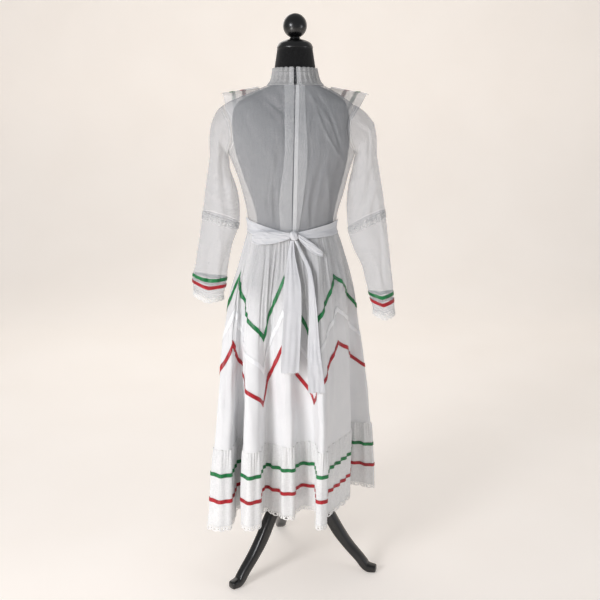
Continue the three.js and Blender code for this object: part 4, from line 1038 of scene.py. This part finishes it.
def skirt():
    columns = SKIRT_MESH["columns"]
    share = (np.arange(columns) / columns)[None, :] + FIRST_SHARE
    z = SKIRT_HEIGHTS[:, None]
    points = skirt_point(share, z)
    normals = grid_normals(points, True)
    out = unit(points * [1, 1, 0])
    # The waist's gathers: thirty soft ones, and fine uneven ones between them
    wave = 2 * smooth(z, 800, WAIST_Z) * np.cos(math.pi * (share - FIRST_SHARE) * SKIRT_COLUMNS)
    fine = (1.6 - 1.1 * smooth(z, 1005, 1030)) * smooth(z, 880, 1000) * np.sin(
        2 * math.pi * (54 * share + 1.1 * np.sin(2 * math.pi * 7 * share)))
    relief = 2 * lay_folds(share % 1, z, SKIRT_FOLDS) * smooth(-z, -1046, -990)
    turn = share * 2 * math.pi
    relief = relief + 1.1 * ripple(np.cos(turn) * 300, np.sin(turn) * 300 + z, 90, 260, 51)
    relief = relief * smooth(z, 430, 470)
    points = points + out * (wave + fine)[..., None] + normals * relief[..., None]
    return Sheet(points, ring=True)


def halves(sheet):
    """A ring's front and back halves, split at the side seams."""
    side = round(sheet.count * round(SKIRT_COLUMNS * SIDE_SHARE) / SKIRT_COLUMNS)
    half = sheet.count // 2
    return [("front", sheet.part(side, side + half)), ("back", sheet.part(side + half, side + 2 * half))]


def panels(sheet, name, node_name, material_made):
    """The front and back panels of a ring of voile."""
    made = []
    for face, part in halves(sheet):
        step = part.points[:, -2] - part.points[:, -1]
        part.points[:, -1] += unit(step) * SEAM_GAP
        made.append(settle(shell(f"{name}_{face}", part, -VOILE, 0, material_made), f"{node_name}_{face}",
                           slot="cotton"))
    return made


def skirt_row(z):
    return np.interp(z, SKIRT_HEIGHTS, np.arange(len(SKIRT_HEIGHTS)))


def zigzags(sheet):
    columns = np.arange(0, sheet.count, 1.0)
    at = columns / sheet.count * SKIRT_COLUMNS
    turns = np.concatenate([ZIGZAG_TURNS, [ZIGZAG_TURNS[-1] + 4]])
    drops = np.where(np.arange(len(turns)) % 2, ZIGZAG_DEEP, 0)
    drop = np.interp(at, turns, drops)
    for colour, peak in ZIGZAGS:
        line = peak - drop
        centre = sheet.at(columns, skirt_row(line))
        run = np.linalg.norm((np.roll(centre, -1, 0) - np.roll(centre, 1, 0))[:, :2], axis=1)
        slope = np.abs((np.roll(line, -1) - np.roll(line, 1)) / np.maximum(run, 1e-6))
        half = RIBBON_WIDE / 2 * np.minimum(np.sqrt(1 + slope**2), 2.6)
        half = np.convolve(np.concatenate([half[-4:], half, half[:4]]), np.ones(9) / 9, "valid")
        edges = [skirt_row(line + way * half) for way in (-1, 1)]
        piece = ribbon_on(f"zigzag_ribbon_{colour}", f"zigzag_{colour}", colour, sheet, *edges, 0.8, columns)


# Flounce and its lace

# z, depth of the gathers
GATHER = np.array([[199, 2.6], [290, 3.6], [395, 3.4], [425, 1.4]], float)
GATHERS = 60
FLOUNCE_MESH = {"columns": 1080, "rows": 24}
HEM_LACE_MESH = {"columns": 1200, "rows": 5}
FLOUNCE_RIBBONS = (("green", 71), ("red", 143))  # how far each lies below the flounce's seam


def flounce_sheet(heights, columns):
    share = (np.arange(columns) / columns)[None, :] + FIRST_SHARE
    z = heights[:, None]
    flat = skirt_point(share, z)
    tangent = np.roll(flat, -1, 1) - np.roll(flat, 1, 1)
    out = unit(np.cross(tangent, [0, 0, 1.0]))
    if np.sum(out * flat * [1, 1, 0]) < 0:
        out = -out
    phase = 2 * math.pi * GATHERS * (share - FIRST_SHARE)
    wave = read(GATHER, z, 1) * np.cos(phase)
    # The gathers lean and fade unevenly towards the hem; the seam bunches them into fine tucks
    drift = 0.8 * np.sin(2 * math.pi * 17 * share + z / 90)
    wave = wave * (0.9 + 0.25 * ripple(share * HEM_LONG, z * 0, 160, 400, 61))
    wave = wave + 0.9 * np.cos(2 * phase + drift) * smooth(z, 230, 420)
    tucks = np.sin(2 * math.pi * 236 * share + 2 * np.sin(2 * math.pi * 11 * share))
    wave = wave + 1.4 * smooth(z, 340, 424) * tucks
    turn = share * 2 * math.pi
    soft = 1.3 * smooth(-z, -400, -260) * ripple(
        np.cos(turn) * 380 + np.sin(7 * turn) * 30, np.sin(turn) * 380 + z * 0.3, 80, 120, 62)
    return Sheet(flat + out * (wave + soft)[..., None], ring=True)


def flounce():
    heights = np.linspace(FLOUNCE_BOTTOM_Z, SEAM_Z, FLOUNCE_MESH["rows"])
    sheet = flounce_sheet(heights, FLOUNCE_MESH["columns"])
    for piece in panels(sheet, "flounce_panel", "flounce", flounce_voile):
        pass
    columns = np.arange(0, sheet.count, 1.25)
    for colour, below in FLOUNCE_RIBBONS:
        edges = [np.full(len(columns), np.interp(SEAM_Z - below + way * RIBBON_WIDE / 2, heights,
                                                np.arange(sheet.rows))) for way in (-1, 1)]
        piece = ribbon_on(f"flounce_band_{colour}", f"flounce_ribbon_{colour}", colour, sheet, *edges, 0.7,
                          columns, 3)
    edge = flounce_sheet(np.linspace(FLOUNCE_BOTTOM_Z - SEAM_GAP, HEM_Z, HEM_LACE_MESH["rows"]),
                         HEM_LACE_MESH["columns"])
    for face, part in halves(edge):
        piece = settle(lace_edge(f"hem_lace_{face}_edge", part, 60, lace), f"hem_lace_{face}", slot="lace")
    return sheet


skirt_sheet = skirt()
for panel in panels(skirt_sheet, "skirt_panel", "skirt", full_voile):
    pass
zigzags(skirt_sheet)
flounce_sheet_made = flounce()


# Sash and bow

# Half width, length of a band, its turns at the side seam and at the knot, its height there, its lift
SASH = {"half": 19, "long": 165, "side": 86, "knot_turn": 6.5, "high": {"left": 1062, "right": 1055},
        "stand": {"left": 3.55, "right": 2.8}}
BOW = {"x": 3, "y": 108.8, "z": 1036, "half": 11, "deep": 9}
LOOP_HALF = 2.96
# reach, drop, half width at the knot and at the tip, how far its tip lies back
LOOPS = {"left": (116, -8, 8, 16, -7), "right": (-80, -52, 5, 8, -6)}
# How full the loop is, how much it sags, and how many times its two half widths its cloth is wide
LOOP_CLOTH = {"left": (3, 1, 1.3), "right": (7, 2.2, 1.7)}
TAIL_CLEAR = 6
# z, x, half width, twist
TAILS = {
    "left": np.array([[650, 13, 26, 2], [740, 11, 26, 3], [830, 8, 25, 4], [898, 7, 24, 4],
                      [945, 8, 16, 3], [985, 10, 10, 0], [1023, 8, 5, 0]], float),
    "right": np.array([[600, -60, 24, 4], [700, -55, 19, -8], [790, -52, 14, -25], [870, -47, 12, -40],
                       [940, -40, 9, -50], [985, -20, 6, -30], [1023, -2, 4, 0]], float),
}
# Along the band from its side seam, across it, along, across, width and depth, in mm
SASH_CREASES = {
    "left": [[0, 12, 150, -6, 2.6, 1.9], [8, 17, 120, 4, 2.0, -1.4], [0, -9, 150, -2, 2.4, -1.3],
             [30, -15, 160, -3, 2.2, 1.5], [60, 10, 165, 3, 2.0, 1.6], [90, 2, 165, 0, 1.6, -1.5]],
    "right": [[0, 14, 160, 3, 2.2, 1.5], [0, 4, 160, 1, 2.6, -1.3], [20, -13, 160, -3, 2.2, 1.5],
              [50, -6, 165, -1, 1.8, -1.4], [60, 11, 165, 4, 1.8, -1.3], [0, -18, 90, -12, 2.4, 1.1]],
}


def sash_band(side):
    sign = -1 if side == "left" else 1
    share, row = np.linspace(0, 1, 96)[None, :], np.linspace(-1, 1, 21)[:, None]
    turn = sign * mix(SASH["side"], SASH["knot_turn"], share)
    half = mix(SASH["half"], BOW["half"] - 3, share ** 2)
    z = mix(SASH["high"][side], BOW["z"], share) + row * half
    turn = turn + 0 * z
    base = np.where((z > WAIST_Z)[..., None], bodice_point(turn, np.maximum(z, WAIST_Z)),
                    section(SKIRT, turn, np.minimum(z, WAIST_Z)))
    out = unit(base * [1, 1, 0])
    along, across = share * SASH["long"], row * SASH["half"]
    relief = creases(along, across, SASH_CREASES[side]) + 0.5 * ripple(along, across, 70, 16, 71)
    points = base + out * (SASH["stand"][side] + np.clip(relief + 0.5, -0.3, 2.6))[..., None]
    sheet = Sheet(points, core=points * [0, 0, 1])
    piece = settle(shell(f"sash_band_{side}", sheet, 0, SASH_THICK, batiste), f"sash_{side}", slot="cotton")


def sash_knot():
    """The knot: the sash wound once round itself, drawn into pleats."""
    up = np.linspace(-1, 1, 41)[1:-1, None]
    angle = np.arange(64)[None, :] / 64 * 2 * math.pi
    ring = np.sqrt(1 - up ** 2) ** 0.8
    pleat = 1 + 0.07 * np.sin(5 * angle + 2.2 * up + 0.7) + 0.045 * np.sin(9 * angle - 4 * up)
    lean = 1.6 * up
    rings = np.stack([BOW["x"] + lean + BOW["half"] * ring * pleat * np.cos(angle),
                      BOW["y"] + BOW["deep"] * ring * pleat * np.sin(angle),
                      BOW["z"] + (BOW["half"] + 2) * up + 0 * angle], -1)
    settle(closed_loft("sash_knot_wound", rings, batiste), "sash_knot", slot="cotton")


def bow_loop(side):
    """A flat ring of sash that runs out from the knot and back, pleated where the knot holds it."""
    reach, drop, start, tip, back = LOOPS[side]
    full, slack, fullness = LOOP_CLOTH[side]
    sign = 1 if side == "left" else -1
    angle, row = np.arange(160)[None, :] / 160 * 2 * math.pi, np.linspace(-1, 1, 19)[:, None]
    out = (1 - np.cos(angle)) / 2
    belly = full * np.sin(out ** 0.9 * math.pi)
    half = mix(start, tip, np.sin(out * math.pi / 2)) * (1 - 0.2 * smooth(out, 0.86, 1.0)) + belly
    puff = 1 + 0.55 * np.sin(np.clip(out, 0, 1) * math.pi) * (1 - 0.5 * row ** 2)
    sag = -1.6 * np.sin(out * math.pi) * slack
    points = np.stack([
        BOW["x"] + sign * (BOW["half"] + 0.5) + (reach - sign * BOW["half"]) * out + 0 * row,
        BOW["y"] + back * out + LOOP_HALF * puff * np.sin(angle),
        BOW["z"] + drop * out + sag + row * half], -1)
    core = np.array([BOW["x"] + reach / 2, BOW["y"] + back / 2, 0.0]) + points * [0, 0, 1]
    normals = grid_normals(points, True, core)
    fans = (1 - 0.72 * out) * (1.1 * np.sin(4.6 * row + 0.8) + 0.7 * np.sin(8.3 * row + 2.1 + 0.8 * out))
    fans = fans + 0.9 * ripple(out * abs(reach) + 0 * row, row * 16 + 20 * np.sign(np.sin(angle)), 34, 12, 73)
    points = points + normals * (np.clip(fans, -1.2, 2.0) * smooth(out, 0.01, 0.12))[..., None]
    sheet = Sheet(points, ring=True, core=core)
    piece = settle(shell(f"bow_loop_{side}_folded", sheet, -SASH_THICK, 0, batiste), f"bow_loop_{side}",
                   slot="cotton")


def tail_sheet(side):
    """A tail as it hangs over the skirt's folds, its edges curled and long soft creases down it."""
    table = TAILS[side]
    z = np.linspace(table[0, 0], table[-1, 0], 130)
    x, half, twist = (read(table, z, k) for k in (1, 2, 3))

    def farthest(at):
        row = np.argmin(np.abs(SKIRT_HEIGHTS - z[at]))
        line = skirt_sheet.points[row]
        near = line[(np.abs(line[:, 0] - x[at]) < half[at] + 14) & (line[:, 1] > 0)]
        return near[:, 1].max() + TAIL_CLEAR

    y = np.array([farthest(k) for k in range(len(z))])
    y = np.maximum(np.maximum.accumulate(y[::-1])[::-1], BOW["y"])
    y = np.where(z > BOW["z"] - 14, BOW["y"], y)
    y = np.maximum(y, np.convolve(np.pad(y, 4, mode="edge"), np.ones(9) / 9, "valid"))
    a = np.linspace(-1, 1, 25)[None, :]
    angle = np.radians(twist)[:, None]
    down = (z[-1] - z)[:, None]
    curl = 2.5 * (1 - a ** 2) + 1.2 * a ** 4
    knot = np.exp(-down / 60)
    relief = (1.5 * knot + 0.5) * np.sin(5.2 * a + (0.6 if side == "left" else 1.9) + down / 170)
    relief = relief + (0.9 * knot + 0.45) * np.sin(9.7 * a + 1.3 - down / 110)
    relief = relief + 0.7 * ripple(a * 26, down, 22, 120, 75 if side == "left" else 76)
    swing = 1.3 * np.sin(down / 46 + (0 if side == "left" else 1.4)) * smooth(down, 30, 200)
    points = np.stack([
        x[:, None] + a * half[:, None] * np.cos(angle) + swing,
        y[:, None] + curl + relief * smooth(down, 0, 26) + a * half[:, None] * np.sin(angle),
        z[:, None] + 0 * a], -1)
    # The end is torn a little off straight
    torn = 1.4 * np.sin(a * 7 + 1) + 0.9 * np.sin(a * 19)
    points[..., 2] += torn * smooth(down, down.max() - 20, down.max())
    return Sheet(points, core=points * [1, 0, 1])


def sash():
    sash_knot()
    for side in ("left", "right"):
        sash_band(side)
        bow_loop(side)
        sheet = tail_sheet(side)
        piece = settle(shell(f"sash_tail_{side}", sheet, 0, SASH_THICK, batiste), f"bow_tail_{side}",
                       slot="cotton")
        frayed_end(side, sheet)


def frayed_end(side, sheet):
    """Loose threads at the tail's raw end, each a thin bent tube."""
    rng = np.random.default_rng(81 if side == "left" else 82)
    ends = sheet.points[0]
    points, faces = [], []
    for k in np.linspace(1, len(ends) - 2, 17):
        root = mix(ends[int(k)], ends[int(k) + 1], k % 1) + [0, 0.4, 0.6]
        long, bend = rng.uniform(3, 9), rng.uniform(-3, 3)
        line = [root + [bend * t * t, 0.5 * rng.uniform(-1, 1) * t, -long * t] for t in (0, 0.35, 0.7, 1)]
        first = len(points)
        for t, place in enumerate(line):
            radius = 0.34 if t < 3 else 0.16
            points += [place + [radius * math.cos(c), radius * math.sin(c), 0] for c in (0, 2.1, 4.2)]
        for t in range(3):
            for c in range(3):
                a, b = first + t * 3 + c, first + t * 3 + (c + 1) % 3
                faces.append([a, a + 3, b + 3, b])
        faces += [[first, first + 1, first + 2], [first + 11, first + 10, first + 9]]
    piece = make(f"sash_tail_{side}_threads", np.array(points), faces, None, sewing["cotton"])
    return settle(piece, slot="cotton")


sash()


# Collar, zip and stitching

def collar():
    """A standing collar of fine lace, its two ends turned in beside the zip."""
    turn, z = np.linspace(3, 357, 240)[None, :], np.linspace(COLLAR[0, 0], 1493.4, 14)[:, None]
    points = section(COLLAR, turn, z)
    out = unit(points * [1, 1, 0])
    slack = 0.8 * ripple(turn * 1.2, z, 30, 60, 91) + 0.7 * np.sin(np.radians(turn) * 31)
    points = points + out * (slack * smooth(z, 1446, 1462))[..., None]
    net = Sheet(points, core=points * [0, 0, 1])
    piece = settle(lace_edge("collar_lace_net", net, 26, fine_lace, thick=0.8, cells=10, bands=30,
                             scallop=0.05, holes=net_holes), "collar_lace", slot="lace")
    seam("cotton", net, np.arange(net.count), 0.5, 0.7)
    for side, first in (("left", 0), ("right", net.count - 8)):
        end = Sheet(net.points[:, first:first + 8], normals=net.normals[:, first:first + 8])
        piece = settle(shell(f"collar_end_{side}", end, 0.5, 1.3, double_voile), slot="cotton")


def stitch_tree():
    """Geometry Nodes: short lengths of thread, laid one after another along the lines of a mesh."""
    tree = bpy.data.node_groups.new("stitches_along_seams", "GeometryNodeTree")
    tree.interface.new_socket(name="Geometry", in_out="INPUT", socket_type="NodeSocketGeometry")
    sockets = {name: tree.interface.new_socket(name=name, in_out="INPUT", socket_type="NodeSocket" + kind)
               for name, kind in (("Spacing", "Float"), ("Long", "Float"), ("Thick", "Float"),
                                  ("Thread", "Material"))}
    tree.interface.new_socket(name="Geometry", in_out="OUTPUT", socket_type="NodeSocketGeometry")
    given = node(tree, "NodeGroupInput").outputs
    line = node(tree, "GeometryNodeMeshToCurve", inputs={"Mesh": given["Geometry"]})
    places = node(tree, "GeometryNodeCurveToPoints", {"mode": "LENGTH"}, {
        "Curve": line.outputs[0], "Length": given["Spacing"]})
    stitch = node(tree, "GeometryNodeMeshCylinder", inputs={
        "Vertices": 4, "Radius": given["Thick"], "Depth": given["Long"]})
    laid = node(tree, "GeometryNodeInstanceOnPoints", inputs={
        "Points": places.outputs["Points"], "Instance": stitch.outputs["Mesh"],
        "Rotation": places.outputs["Rotation"]})
    real = node(tree, "GeometryNodeRealizeInstances", inputs={"Geometry": laid.outputs[0]})
    done = node(tree, "GeometryNodeSetMaterial", inputs={
        "Geometry": real.outputs[0], "Material": given["Thread"]})
    node(tree, "NodeGroupOutput", inputs={"Geometry": done.outputs[0]})
    return tree, {name: socket.identifier for name, socket in sockets.items()}


STITCHES = stitch_tree()


def stitched(name, lines, material_made, slot, spacing=5.0, long=3.3, thick=0.3):
    """Stitches of these sizes in millimetres along lines, as one plain mesh."""
    firsts = np.cumsum([0] + [len(line) for line in lines])
    edges = [(k, k + 1) for first, line in zip(firsts, lines) for k in range(first, first + len(line) - 1)]
    mesh = bpy.data.meshes.new(name)
    mesh.from_pydata((np.concatenate(lines) + AXIS) / 1000, edges, [])
    piece = bpy.data.objects.new(name, mesh)
    bpy.context.scene.collection.objects.link(piece)
    tree, ids = STITCHES
    laid = piece.modifiers.new("stitches", "NODES")
    laid.node_group = tree
    for key, value in (("Spacing", spacing / 1000), ("Long", long / 1000), ("Thick", thick / 1000),
                       ("Thread", material_made)):
        laid[ids[key]] = value
    settle(apply_all(piece), slot=slot)


def zip_teeth():
    """The zip's nylon coil, two rows of turns that mesh down the middle of the facing."""
    z = np.arange(1056, 1492, 4.0)
    low = z < COLLAR[0, 0]
    rows = []
    for way in (-0.55, 0.55):
        turn = opening_turn(1, np.minimum(z, COLLAR[0, 0] - 0.4))
        line = np.where(low[:, None], bodice_point(turn, np.minimum(z, NECK_Z)),
                        section(COLLAR, 0 * z, np.maximum(z, COLLAR[0, 0])))
        line = line + unit(line * [1, 1, 0]) * 0.7 + [way, 0, way]
        rows.append(line)
    stitched("zip_coil", rows, nylon, "cotton", spacing=2.2, long=1.3, thick=0.6)


def stitching():
    """Lines of stitches at the seams, then every kept line sewn with its thread."""
    left, right, front = bodice_sheets
    for sheet, column in ((left, left.count - 2.5), (right, right.count - 2.5), (front, 2.5),
                          (front, front.count - 3.5)):
        seam("cotton", sheet, column, np.linspace(2, 60, 120), 0.2)
    # Each line across a sheet: its row, and how far it lies off the cloth
    rows = []
    for upper, lower in sleeve_sheets.values():
        rows += [(upper, 2.0, 0.2), (lower, 67.0, 0.2)]
    rows += [(yoke_sheet, 0.8, 0.2), (yoke_sheet, 28.4, 0.2), (skirt_sheet, 0.42, 0.25),
             (flounce_sheet_made, 0.35, 0.3)]
    for sheet, row, lift in rows:
        seam("cotton", sheet, np.arange(sheet.count), row, lift)
    for colour, lines in seams.items():
        stitched(f"stitches_{colour}", lines, sewing[colour],
                 "cotton" if colour == "cotton" else f"{colour}_satin")


collar()
zip_teeth()
stitching()


# Camera, light, floor

FLOOR = {"near": 3.5, "bend": 3.0, "radius": 1.6, "top": 6.0, "half": 9}  # metres


def stage_and_light():
    camera = bpy.data.objects.new("camera", bpy.data.cameras.new("camera"))
    bpy.context.scene.collection.objects.link(camera)
    camera.data.sensor_width = 36
    camera.data.lens = 52.0
    camera.location = Vector((-17, 2520, 1350)) / 1000
    aim = Vector((-17, 20, 832)) / 1000
    camera.rotation_euler = (aim - camera.location).to_track_quat("-Z", "Y").to_euler()
    bpy.context.scene.camera = camera

    paper, tree, shader = material("paper_backdrop_matt", Roughness=0.95, Specular_IOR_Level=0.1)
    mottle = node(tree, "ShaderNodeTexNoise", inputs={
        "Vector": node(tree, "ShaderNodeTexCoord").outputs["Object"], "Scale": 2.6, "Detail": 6.0})
    tree.links.new(ramp(tree, mottle.outputs["Fac"], [(0.3, linear("#f3ece5")), (0.75, linear("#f7f1eb"))]),
                   shader.inputs["Base Color"])
    # A faint glow of its own keeps the paper even and pale
    shader.inputs["Emission Color"].default_value = linear("#f3ece5")
    shader.inputs["Emission Strength"].default_value = 0.3
    # The floor runs up into the backdrop in one sweep
    radius = FLOOR["radius"]
    profile = [(-FLOOR["near"], 0.0)]
    profile += [(FLOOR["bend"] + radius * math.sin(a), radius - radius * math.cos(a))
                for a in np.linspace(0, math.pi / 2, 16)]
    profile += [(FLOOR["bend"] + radius, FLOOR["top"])]
    points = [[x * 1000, -y * 1000, z * 1000] for y, z in profile for x in (-FLOOR["half"], FLOOR["half"])]
    faces = [[2 * k, 2 * k + 1, 2 * k + 3, 2 * k + 2] for k in range(len(profile) - 1)]
    floor = make("paper_floor", np.array(points) - AXIS, faces, None, paper)
    floor.location.z = -0.0006

    def softbox(name, at, aim_at, size, power, tint):
        lamp = bpy.data.objects.new(name, bpy.data.lights.new(name, "AREA"))
        bpy.context.scene.collection.objects.link(lamp)
        lamp.data.shape, lamp.data.size, lamp.data.energy = "DISK", size, power
        lamp.data.color = linear(tint)[:3]
        lamp.location = at
        lamp.rotation_euler = (Vector(aim_at) - Vector(at)).to_track_quat("-Z", "Y").to_euler()

    softbox("key", (1.9, 2.3, 1.7), (0, 0, 0.55), 0.9, 38, "#fbfbff")
    softbox("low_light", (1.3, 1.9, 0.45), (0, 0.1, 0.3), 0.9, 11, "#fffdfa")
    softbox("fill", (-2.7, 1.1, 1.1), (0, 0, 0.7), 0.9, 8, "#f6f8ff")
    softbox("front_light", (1.2, -2.6, 2.6), (0, 0, 0.9), 2.4, 14, "#ffffff")
    softbox("backdrop_light", (0, -1.7, 3.4), (0, -4.6, 1.3), 3.0, 20, "#fffaf2")
    world = bpy.data.worlds.new("studio")
    world.use_nodes = True
    world.node_tree.nodes["Background"].inputs["Color"].default_value = linear("#f1f2f4")
    world.node_tree.nodes["Background"].inputs["Strength"].default_value = 0.36
    bpy.context.scene.world = world
    bpy.context.scene.view_settings.view_transform = "Standard"


stage_and_light()
